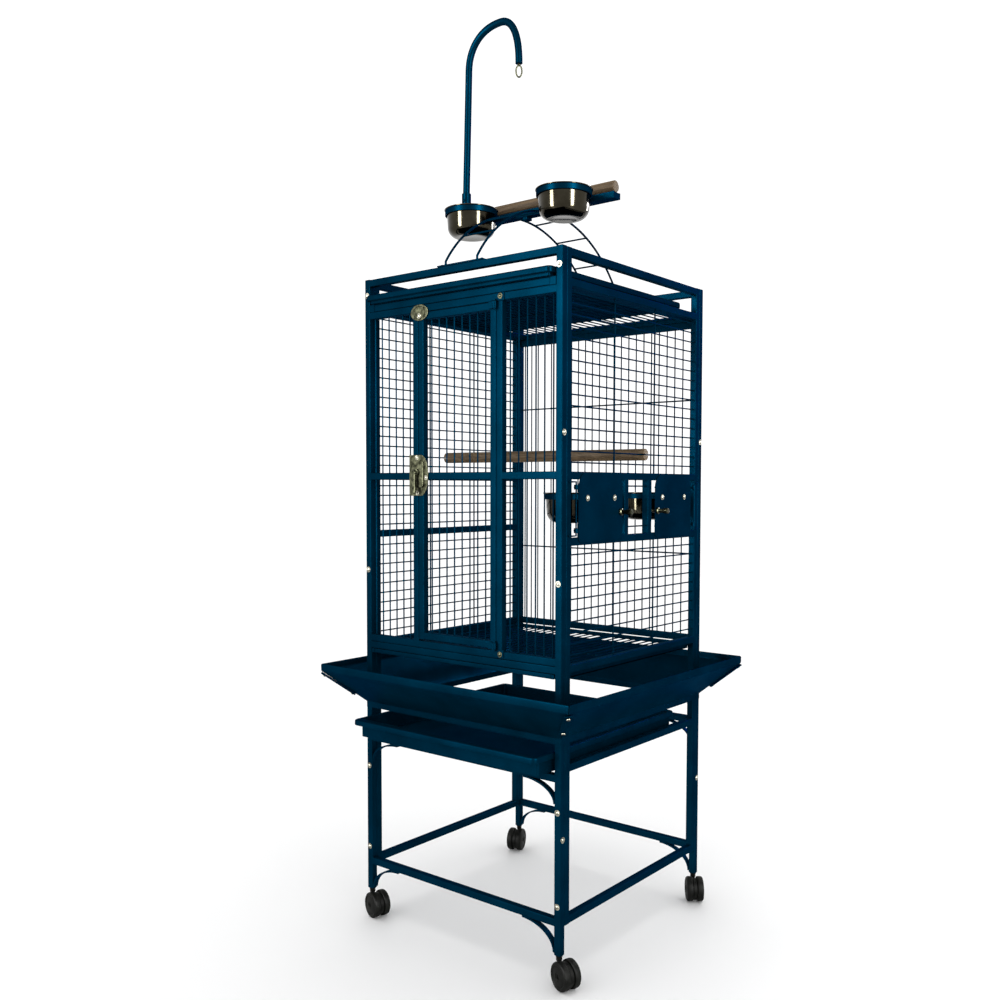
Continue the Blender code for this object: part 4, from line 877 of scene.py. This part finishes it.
class CAGE_OT_braces(bpy.types.Operator):
    """Curved flat braces between the legs and the rails"""

    bl_idname = "cage.braces"
    bl_label = "Stand braces"

    def execute(self, context):
        steps, thick = 20, 0.0030
        for face, y in (("front", -HALF + TUBE / 2), ("back", HALF - TUBE / 2)):
            for side in ("left", "right"):
                for level in ("upper", "lower"):
                    name = f"brace_{face}_{side}_{level}"
                    low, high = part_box(name)
                    run, drop = high.x - low.x, high.z - low.z
                    sign = 1 if side == "right" else -1
                    centre = low.x if sign > 0 else high.x
                    rows = []
                    for i in range(steps + 1):
                        a = math.pi / 2 * i / steps
                        outer = Vector((sign * run * math.cos(a), 0, drop * math.sin(a)))
                        inner = Vector((sign * (run - thick) * math.cos(a), 0, (drop - thick) * math.sin(a)))
                        corner = Vector((centre, y, low.z))
                        rows.append([corner + outer + Vector((0, -0.0053, 0)),
                                     corner + outer + Vector((0, 0.0053, 0)),
                                     corner + inner + Vector((0, 0.0053, 0)),
                                     corner + inner + Vector((0, -0.0053, 0))])
                    bm = bmesh.new()
                    made = [[bm.verts.new(p) for p in row] for row in rows]
                    for a, b in zip(made, made[1:]):
                        for i in range(4):
                            bm.faces.new((a[i], a[(i + 1) % 4], b[(i + 1) % 4], b[i]))
                    bm.faces.new(made[0])
                    bm.faces.new(made[-1])
                    bmesh.ops.recalc_face_normals(bm, faces=bm.faces)
                    long_edges = [e for e in bm.edges if e.is_manifold and e.calc_face_angle(0) > 1.2]
                    bmesh.ops.bevel(bm, geom=long_edges, offset=0.0005, segments=2, profile=0.5,
                                    affect="EDGES")
                    finish_piece(f"{name}_strap", bm, "coat", "cage", [name])
        return {"FINISHED"}


# ------------------------------------------------------------ bowls, feeders and perches
BOWL_R, RING_OUT = 0.0470, 0.0501
RING_X = HALF + TOUCH - 0.0075 - RING_OUT
FEEDER_RING_Z = 0.801
FEEDER_X = HALF + TOUCH
FEEDER_Y, FEEDER_HALF = 0.119, 0.065      # middle of each door, and half its width
FEEDER_Z = (0.722, 0.8375)                # foot and top of each door
ROD_Z = (0.742, 0.8125)                   # rods behind each door
KNOB_Z = 0.770
PLAY_RING_Z = Z_TOP + 0.1231 + 0.0021 + 0.0003 + 0.0060 + 0.0115
PLAY_BOWL_Y = -(0.021 / 2 + 0.0020 + RING_OUT)
PLAY_BOWLS = {"left": -0.112, "right": 0.108}


def bowl_profile(rim):
    """Closed profile of a spun bowl with a rolled rim, from its foot to its inside."""
    base, foot = rim + 0.0003 - 0.050, BOWL_R * 0.58
    bend = [(foot + (BOWL_R * 0.96 - foot) * math.sin(math.radians(a)),
             base + 0.050 * 0.38 * (1 - math.cos(math.radians(a))))
            for a in range(0, 91, 9)]
    wall = [(BOWL_R * (0.96 + 0.04 * t), base + 0.019 + t * 0.0295) for t in (0.33, 0.66, 0.97)]
    lip_r, lip_z, roll = BOWL_R + 0.0035, rim + 0.0011, 0.0011
    lip = [(lip_r + roll * math.sin(math.radians(a)), lip_z - roll * math.cos(math.radians(a)))
           for a in range(0, 181, 30)]
    outside = [(0.0, base + 0.0006), (foot * 0.6, base + 0.0006),
               (foot * 0.8, base)] + bend + wall + [(BOWL_R + 0.0002, rim + 0.0003)] + lip
    inside = [(BOWL_R - 0.0004, rim + 0.0014), (BOWL_R - 0.0010, rim + 0.0002)]
    inside += [(r - 0.0009, z) for r, z in wall[::-1]] + [(max(r - 0.0009, 0.0), z + 0.0009) for r,
                                                          z in bend[::-1]]
    return outside + inside + [(foot * 0.6, base + 0.0014), (0.0, base + 0.0014)]


def make_bowl(name, x, y, rim):
    bm = bmesh.new()
    lathe(bm, bowl_profile(rim), Matrix.Translation((x, y, 0)), 72)
    bmesh.ops.recalc_face_normals(bm, faces=bm.faces)
    finish_piece(f"{name}_spun", bm, "stainless", name, [name], sharp=60)


def ring_band(bm, x, y, top):
    """The flat band that holds a bowl."""
    r0, r1, h = RING_OUT - 0.0026, RING_OUT, 0.0095
    e = 0.0004
    lathe(bm, [(r0, top - h + e), (r0 + e, top - h), (r1 - e, top - h), (r1, top - h + e), (r1, top - e),
               (r1 - e, top),
               (r0 + e, top), (r0, top - e)], Matrix.Translation((x, y, 0)), 64)


class CAGE_OT_feeders(bpy.types.Operator):
    """Feeder doors with their rings, hinge wires, twist latches and bowls"""

    bl_idname = "cage.feeders"
    bl_label = "Feeder doors and bowls"

    def execute(self, context):
        axis_x = FEEDER_X + 0.0027
        for place, sign in (("front", -1), ("back", 1)):
            y = sign * FEEDER_Y
            hinge = sign * (BAY - 0.0095)
            free = y - sign * FEEDER_HALF
            knob = free + sign * 0.0065
            edge = sorted((free, y + sign * FEEDER_HALF))
            bm = bmesh.new()
            plate(bm, rounded(*edge, *FEEDER_Z, 0.026, 0.008), FEEDER_X, FEEDER_X + 0.0015, "side",
                  [circle(knob, KNOB_Z, 0.0035)], edge=0.0004)
            for z in ROD_Z:
                a, b = sorted((free + sign * 0.003, hinge))
                rounded_rod(bm, (FEEDER_X - 0.0014, a, z), (FEEDER_X - 0.0014, b, z), 0.0015)
                lathe(bm, [(0.0021, -0.004), (0.0034, -0.004), (0.0038, -0.0036), (0.0038, 0.0036),
                           (0.0034, 0.004), (0.0021, 0.004)],
                      Matrix.Translation((axis_x, hinge, z)), 24)
            ring_band(bm, RING_X, y, FEEDER_RING_Z)
            for shift in (-0.040, 0.040):
                soft_box(bm, RING_X + 0.030, FEEDER_X + 0.0006, y + shift - 0.0028, y + shift + 0.0028,
                         FEEDER_RING_Z - 0.0093, FEEDER_RING_Z - 0.0002)
            finish_piece(f"feeder_door_{place}_plate", bm, "coat", f"feeder_door_{place}",
                         [f"feeder_door_{place}"])
            heads(f"feeder_door_{place}_screws",
                  [(FEEDER_X + 0.0015, y - 0.040, 0.7945), (FEEDER_X + 0.0015, y + 0.040, 0.7945)],
                  "+X", f"feeder_door_{place}", "steel", 0.0036)
            low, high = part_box(f"feeder_hinge_{place}")
            bm = bmesh.new()
            corner = [(HALF + 0.0016, high.y - 0.002 if sign > 0 else low.y + 0.002), (axis_x, hinge)]
            bottom, top = low.z + 0.0016, high.z - 0.0016
            sweep(bm, [(*corner[0], bottom), (axis_x, corner[0][1] - sign * 0.003, bottom),
                       (*corner[1], bottom), (*corner[1], top),
                       (axis_x, corner[0][1] - sign * 0.003, top), (*corner[0], top)], 0.0015, 12)
            finish_piece(f"feeder_hinge_{place}_wire", bm, "coat", "cage", [f"feeder_hinge_{place}"])
            front = FEEDER_X + 0.0015
            bm = bmesh.new()
            rounded_rod(bm, (IN - 0.0030, knob, KNOB_Z), (front + 0.020, knob, KNOB_Z), 0.0030)
            turn = Matrix.Translation((front + TOUCH, knob, KNOB_Z)) @ Matrix.Rotation(math.pi / 2, 4, "Y")
            lathe(bm, [(0.0, 0.0), (0.0058, 0.0), (0.0062, 0.0006), (0.0058, 0.0030), (0.0040, 0.0044),
                       (0.0036, 0.0105), (0.0046, 0.0130),
                       (0.0052, 0.0165), (0.0052, 0.0215), (0.0040, 0.0236), (0.0, 0.0240)], turn, 32)
            soft_box(bm, IN - 0.0042, IN - 0.0020, knob - 0.0035, knob + 0.0035, 0.746, 0.774)
            finish_piece(f"feeder_latch_{place}_knob", bm, "zinc", f"feeder_latch_{place}",
                         [f"feeder_latch_{place}"])
            make_bowl(f"feeder_bowl_{place}", RING_X, y, FEEDER_RING_Z)
        return {"FINISHED"}


class CAGE_OT_perches(bpy.types.Operator):
    """Wooden dowels inside the cage and on the play top"""

    bl_idname = "cage.perches"
    bl_label = "Perches"

    def execute(self, context):
        reach = (IN + HALF) / 2 + 0.0040
        ends = [Vector((-reach, -0.0105, PERCH_Z)), Vector((reach, 0.0275, PERCH_Z))]
        bm = bmesh.new()
        rounded_rod(bm, ends[0], ends[1], PERCH_R, 0.0012, 40)
        obj = finish_piece("cage_perch_dowel", bm, "wood", "cage", ["cage_perch"])
        # a slot in each end takes the side wire
        cutter = bmesh.new()
        for sign, y in ((-1, -0.0105), (1, 0.0275)):
            made = bmesh.ops.create_cube(cutter, size=1.0)["verts"]
            bmesh.ops.scale(cutter, vec=(0.017, 0.04, 0.0034), verts=made)
            bmesh.ops.translate(cutter, vec=(sign * reach, y, PERCH_Z), verts=made)
        mesh = bpy.data.meshes.new("slot_cutter")
        cutter.to_mesh(mesh)
        cutter.free()
        helper = bpy.data.objects.new("slot_cutter", mesh)
        context.scene.collection.objects.link(helper)
        cut = obj.modifiers.new("Slots", "BOOLEAN")
        cut.operation, cut.object = "DIFFERENCE", helper
        context.view_layer.update()
        solid = bpy.data.meshes.new_from_object(obj.evaluated_get(context.evaluated_depsgraph_get()))
        obj.modifiers.remove(cut)
        bpy.data.objects.remove(helper, do_unlink=True)
        old, obj.data = obj.data, solid
        bpy.data.meshes.remove(old)
        obj.data.materials.clear()
        obj.data.materials.append(PAINT["wood"])
        low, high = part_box("play_perch")
        z = (low.z + high.z) / 2
        bm = bmesh.new()
        rounded_rod(bm, (low.x, 0, z), (high.x, 0, z), high.z - z, 0.0014, 48)
        finish_piece("play_perch_dowel", bm, "wood", "cage", ["play_perch"])
        return {"FINISHED"}


# ------------------------------------------------------------ play top
ARCH_R, ARCH_Y, ARCH_Z = 0.2545, -0.0135, Z_TOP + 0.1231 - 0.2545
ARCH_X = (-0.0252, 0.0472)
HOOK_X = -0.181


class CAGE_OT_play_top(bpy.types.Operator):
    """Arched ladder, perch bar with its bowl rings, and the bowls on it"""

    bl_idname = "cage.play_top"
    bl_label = "Play top"

    def execute(self, context):
        bm = bmesh.new()
        first, last = math.asin((-0.2262 - ARCH_Y) / ARCH_R), math.asin((0.2040 - ARCH_Y) / ARCH_R)
        foot = Z_TOP + TOUCH + 0.00125
        for x in ARCH_X:
            arc = [Vector((x, ARCH_Y + ARCH_R * math.sin(a), ARCH_Z + ARCH_R * math.cos(a)))
                   for a in (first + (last - first) * i / 60 for i in range(61))]
            arc.insert(0, Vector((x, arc[0].y, foot)))
            arc[-1].z = foot
            sweep(bm, arc, 0.0021, 14)
        for degrees in (-41.0, -24.6, -8.2, 8.2, 24.6, 41.0):
            a = math.radians(degrees)
            y, z = ARCH_Y + ARCH_R * math.sin(a), ARCH_Z + ARCH_R * math.cos(a)
            wires(bm, 1, ((ARCH_X[0] + ARCH_X[1]) / 2, y, z), (0.01, 0, 0), ARCH_X[1] - ARCH_X[0], "X",
                  0.0017)
        z0 = Z_TOP + TOUCH
        soft_box(bm, ARCH_X[0] - 0.019, ARCH_X[1] + 0.013, -HALF, -IN, z0, z0 + 0.0025, 0.0005)
        soft_box(bm, ARCH_X[0] - 0.012, ARCH_X[1] + 0.012, 0.198, HALF, z0, z0 + 0.0025, 0.0005)
        finish_piece("play_ladder_wire", bm, "coat", "cage", ["play_ladder"])
        heads("play_ladder_screws",
              [(ARCH_X[0] - 0.012, FRONT_Y, z0 + 0.0025), (ARCH_X[1] + 0.007, FRONT_Y, z0 + 0.0025),
                                     (ARCH_X[0] + 0.010, -FRONT_Y, z0 + 0.0025),
               (ARCH_X[1] - 0.010, -FRONT_Y, z0 + 0.0025)],
              "+Z", "cage", radius=0.0034)
        low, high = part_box("perch_bar")
        bm = bmesh.new()
        top, bottom = PLAY_RING_Z, PLAY_RING_Z - 0.0115
        half, wall = 0.0105, 0.0016
        # a channel, open upwards, that the dowel lies on
        profile = [(-half, bottom), (half, bottom), (half, top), (half - wall, top),
                   (half - wall, top - 0.0008),
                   (-half + wall, top - 0.0008), (-half + wall, top), (-half, top)]
        rows = [[Vector((x, u, v)) for u, v in profile] for x in (low.x, high.x)]
        made = [[bm.verts.new(p) for p in row] for row in rows]
        for i in range(len(profile)):
            j = (i + 1) % len(profile)
            bm.faces.new((made[0][i], made[0][j], made[1][j], made[1][i]))
        bm.faces.new(made[0])
        bm.faces.new(made[1])
        bmesh.ops.recalc_face_normals(bm, faces=bm.faces)
        for x in ARCH_X:
            soft_box(bm, x - 0.005, x + 0.005, -0.008, 0.008, bottom - 0.006, bottom + 0.001)
        for x in PLAY_BOWLS.values():
            ring_band(bm, x, PLAY_BOWL_Y, PLAY_RING_Z)
            soft_box(bm, x - 0.012, x + 0.012, -0.0105 - 0.0042, -0.0100, PLAY_RING_Z - 0.0093,
                     PLAY_RING_Z - 0.0002)
        finish_piece("perch_bar_channel", bm, "coat", "cage", ["perch_bar"])
        for side, x in PLAY_BOWLS.items():
            make_bowl(f"play_bowl_{side}", x, PLAY_BOWL_Y, PLAY_RING_Z)
        return {"FINISHED"}


class CAGE_OT_toy_hook(bpy.types.Operator):
    """Tall toy hook, the socket that it stands in, and its swivel eye"""

    bl_idname = "cage.toy_hook"
    bl_label = "Toy hook"

    def execute(self, context):
        base, r = PLAY_RING_Z + TOUCH, 0.0070
        socket_top = base + 0.060
        bm = bmesh.new()
        lathe(bm, [(0.0, base), (0.0088, base), (0.0092, base + 0.0005), (0.0092, socket_top - 0.0010),
                   (0.0084, socket_top),
                   (r + 0.0004, socket_top), (r + 0.0004, base + 0.0075), (0.0, base + 0.0075)],
              Matrix.Translation((HOOK_X, 0, 0)), 40)
        bmesh.ops.recalc_face_normals(bm, faces=bm.faces)
        finish_piece("hook_socket_tube", bm, "coat", "cage", ["hook_socket"])
        heads("hook_socket_screw", [(HOOK_X, -0.0091, base + 0.045)], "-Y", "cage", "coat", 0.0026)
        start = HOOK_X + 0.0065
        apex, end, straight, full = (-0.0940, 1.7085), (-0.0465, 1.6185), 1.630, 0.87
        points = [(HOOK_X, 0, base + 0.008), (HOOK_X, 0, socket_top + 0.004)]
        points += [(HOOK_X + 0.0065 * t, 0, socket_top + 0.004 + (straight - socket_top - 0.004) * t)
                   for t in (0.25, 0.5, 0.75)]
        for i in range(37):
            c, s = [max(v, 0.0) ** full for v in (math.cos(math.pi / 72 * i), math.sin(math.pi / 72 * i))]
            points.append((apex[0] - (apex[0] - start) * c, 0, straight + (apex[1] - straight) * s))
        for i in range(1, 31):
            c, s = [max(v, 0.0) ** full for v in (math.cos(math.pi / 60 * i), math.sin(math.pi / 60 * i))]
            points.append((apex[0] + (end[0] - apex[0]) * s, 0, end[1] + (apex[1] - end[1]) * c))
        bm = bmesh.new()
        sweep(bm, points, r - 0.0001, 20)
        finish_piece("toy_hook_pole", bm, "coat", "toy_hook", ["toy_hook"])
        low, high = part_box("hook_eye")
        loop_high, loop_low = end[1] - 0.0036, low.z + 0.0016
        middle, tall = (loop_high + loop_low) / 2, (loop_high - loop_low) / 2
        spin = Matrix.Rotation(math.radians(40), 4, "Z")
        bm = bmesh.new()
        sweep(bm, [Vector((end[0], 0, middle)) + spin @ Vector((0.0056 * math.sin(a), 0, tall * math.cos(a)))
                   for a in (2 * math.pi * i / 40 for i in range(40))], 0.0016, 12, cyclic=True)
        rounded_rod(bm, (end[0], 0, loop_high - 0.001), (end[0], 0, high.z), 0.0015, 0.0003, 16)
        lathe(bm, [(0.0, end[1] - 0.0030), (0.0026, end[1] - 0.0030), (0.0030, end[1] - 0.0022),
                   (0.0026, end[1] - 0.0006), (0.0, end[1] - 0.0006)],
              Matrix.Translation((end[0], 0, 0)), 24)
        finish_piece("hook_eye_ring", bm, "zinc", "hook_eye", ["hook_eye"])
        return {"FINISHED"}


# ------------------------------------------------------------ casters and fixings
class CAGE_OT_casters(bpy.types.Operator):
    """Twin-wheel casters"""

    bl_idname = "cage.casters"
    bl_label = "Casters"

    def execute(self, context):
        trail, r, gap, width = 0.020, 0.0235, 0.0045, 0.0120
        top = Z_LEG - TOUCH
        for corner, (sx, sy) in CORNERS.items():
            stem = Vector((sx * (HALF - TUBE / 2), sy * (HALF - TUBE / 2), 0))
            place = Matrix.Translation(stem) @ Matrix.Rotation(math.radians(CASTER_YAW[corner]), 4, "Z")
            axle = place @ Matrix.Translation((trail, 0, r)) @ Matrix.Rotation(-math.pi / 2, 4, "X")
            bm = bmesh.new()
            hub = gap - 0.0005
            lathe(bm, [(0.0, -hub), (0.0195, -hub), (0.0205, -hub + 0.0010), (0.0205, hub - 0.0010),
                       (0.0195, hub), (0.0, hub)], axle, 48)
            rounded_rod(bm, axle @ Vector((0, 0, -0.0145)), axle @ Vector((0, 0, 0.0145)), 0.0030, 0.0006, 20)
            lathe(bm, [(0.0, 0.012), (0.0037, 0.0125), (0.0037, 0.0385), (0.0052, 0.0405), (0.0052, 0.0448),
                       (0.0038, 0.0458),
                       (0.0038, top - 0.0018), (0.0060, top - 0.0018), (0.0062, top - 0.0014), (0.0062, top),
                       (0.0, top)], place, 28)
            bmesh.ops.recalc_face_normals(bm, faces=bm.faces)
            web = bmesh.new()
            soft_box(web, -0.0036, trail * 0.8, -hub * 0.9, hub * 0.9, r * 0.55, r * 1.52, 0.0014, 3,
                     matrix=place)
            mesh = bpy.data.meshes.new("web")
            web.to_mesh(mesh)
            web.free()
            take(bm, mesh)
            finish_piece(f"caster_{corner}_hood", bm, "nylon", f"caster_fork_{corner}",
                         [f"caster_fork_{corner}"])
            for side, sign in (("a", -1), ("b", 1)):
                name = f"caster_wheel_{corner}_{side}"
                inner, outer = gap, gap + width
                profile = [(0.0034, inner + 0.0016), (0.0180, inner + 0.0016), (0.0186, inner),
                           (0.0222, inner), (0.0232, inner + 0.0008),
                           (r, inner + 0.0030), (r, outer - 0.0042), (0.0229, outer - 0.0020),
                           (0.0212, outer - 0.0006),
                           (0.0190, outer - 0.0002), (0.0176, outer - 0.0010), (0.0168, outer - 0.0016),
                           (0.0120, outer - 0.0004),
                           (0.0070, outer), (0.0062, outer - 0.0010), (0.0034, outer - 0.0010)]
                bm = bmesh.new()
                lathe(bm, [(radius, sign * height) for radius, height in profile], axle, 56)
                bmesh.ops.recalc_face_normals(bm, faces=bm.faces)
                finish_piece(f"{name}_tread", bm, "nylon", name, [name], sharp=32)
        return {"FINISHED"}


class CAGE_OT_fixings(bpy.types.Operator):
    """Bolts that hold the knock-down frame together, and the plugs in the posts"""

    bl_idname = "cage.fixings"
    bl_label = "Frame bolts"

    def execute(self, context):
        post = HALF - TUBE / 2
        levels, rail_levels, head = (0.130, 0.285, 0.657, 1.165), (0.240, 0.900), 0.0036
        for facing, y in (("-Y", -HALF), ("+Y", HALF)):
            heads(f"post_bolts_{'front' if y < 0 else 'back'}",
                  [(s * post, y, z) for s in (-1, 1) for z in levels], facing, "cage", "steel", head)
        for facing, x in (("+X", HALF), ("-X", -HALF)):
            heads(f"rail_bolts_{'right' if x > 0 else 'left'}",
                  [(x, s * post, z) for s in (-1, 1) for z in rail_levels],
                  facing, "cage", "steel", head)
        bm = bmesh.new()
        for sx in (-1, 1):
            for sy in (-1, 1):
                soft_box(bm, sx * post - 0.0058, sx * post + 0.0058, sy * post - 0.0058, sy * post + 0.0058,
                         Z_TOP - 0.0005, Z_TOP + 0.0009, 0.0006)
        finish_piece("post_plugs", bm, "nylon", "cage")
        return {"FINISHED"}


# ------------------------------------------------------------ stage
class CAGE_OT_stage(bpy.types.Operator):
    """Pale floor, strip lights and the camera"""

    bl_idname = "cage.stage"
    bl_label = "Floor, lights and camera"

    def execute(self, context):
        material, tree, place, shader = new_material("pale_floor")
        cloud = add_node(tree, "ShaderNodeTexNoise", {"Vector": place, "Scale": 1 / 0.4, "Detail": 2.0})
        base = tuple(colours().floor)
        tree.links.new(ramp(tree, cloud.outputs[0], [(0.2, tinted(base, 0.99)), (0.8, base)]),
                       shader.inputs["Base Color"])
        shader.inputs["Roughness"].default_value = 0.6
        bm = bmesh.new()
        bmesh.ops.create_grid(bm, x_segments=1, y_segments=1, size=30.0)
        mesh = bpy.data.meshes.new("floor")
        bm.to_mesh(mesh)
        bm.free()
        mesh.materials.append(material)
        floor = bpy.data.objects.new("floor", mesh)
        context.scene.collection.objects.link(floor)
        world = bpy.data.worlds.new("studio")
        world.use_nodes = True
        context.scene.world = world
        sky = world.node_tree.nodes["Background"]
        sky.inputs["Color"].default_value = base
        sky.inputs["Strength"].default_value = 1.20
        context.scene.view_settings.view_transform = "Standard"
        for name, at, aim, size, power in (("key", (-0.85, -2.75, 1.5), (0, 0, 1.0), (0.70, 2.4), 330.0),
                                           ("side", (2.55, -0.78, 1.5), (0, 0, 1.0), (0.60, 2.4), 280.0),
                                           ("rim", (0.65, 2.60, 2.0), (0, 0, 1.0), (0.40, 2.0), 120.0)):
            lamp = bpy.data.lights.new(name, "AREA")
            lamp.energy, lamp.shape, lamp.size, lamp.size_y = power, "RECTANGLE", *size
            obj = bpy.data.objects.new(name, lamp)
            # the strips only make the streaks on metal, and the sky lights the rest
            obj.visible_diffuse = False
            obj.location = at
            obj.rotation_euler = (Vector(aim) - Vector(at)).to_track_quat("-Z", "Y").to_euler()
            context.scene.collection.objects.link(obj)
        data = bpy.data.cameras.new("camera")
        data.sensor_width, data.lens = 36.0, 35.70
        data.shift_x, data.shift_y = -0.0376, 0.0319
        camera = bpy.data.objects.new("camera", data)
        camera.location = (1.170, -1.497, 0.813)
        camera.rotation_euler = (Matrix.Rotation(math.radians(37.97), 3, "Z")
                                 @ Matrix.Rotation(math.radians(90 - 2.61), 3, "X")
                                 @ Matrix.Rotation(math.radians(0.16), 3, "Z")).to_euler()
        context.scene.collection.objects.link(camera)
        context.scene.camera = camera
        return {"FINISHED"}


OPERATORS = (CAGE_OT_end_frames, CAGE_OT_side_frames, CAGE_OT_grilles, CAGE_OT_main_door, CAGE_OT_lock,
             CAGE_OT_guards,
             CAGE_OT_trays, CAGE_OT_braces, CAGE_OT_feeders, CAGE_OT_perches, CAGE_OT_play_top,
             CAGE_OT_toy_hook,
             CAGE_OT_casters, CAGE_OT_fixings, CAGE_OT_stage)


class CAGE_PT_panel(bpy.types.Panel):
    """Lists the steps that make the cage."""

    bl_idname = "CAGE_PT_panel"
    bl_label = "Bird cage"
    bl_space_type = "VIEW_3D"
    bl_region_type = "UI"
    bl_category = "Bird cage"

    def draw(self, context):
        layout = self.layout
        for group in (sizes(), colours()):
            for key in group.__annotations__:
                layout.prop(group, key)
        for operator in OPERATORS:
            layout.operator(operator.bl_idname)


CLASSES = (CageSizes, CageColours, *OPERATORS, CAGE_PT_panel)


def register():
    for cls in CLASSES:
        bpy.utils.register_class(cls)
    bpy.types.Scene.cage_sizes = bpy.props.PointerProperty(type=CageSizes)
    bpy.types.Scene.cage_colours = bpy.props.PointerProperty(type=CageColours)


def unregister():
    del bpy.types.Scene.cage_colours
    del bpy.types.Scene.cage_sizes
    for cls in reversed(CLASSES):
        bpy.utils.unregister_class(cls)


def main():
    register()
    PAINT.update({
        "coat": powder_coated_steel(), "stainless": spun_stainless(), "zinc": zinc_plated_steel(),
        "steel": zinc_plated_steel(dark="#4C4B42", light="#9A988A"), "wood": bare_dowel(),
        "nylon": moulded_nylon(),
    })
    for operator in OPERATORS:
        group, name = operator.bl_idname.split(".")
        getattr(getattr(bpy.ops, group), name)()


if __name__ == "__main__":
    main()
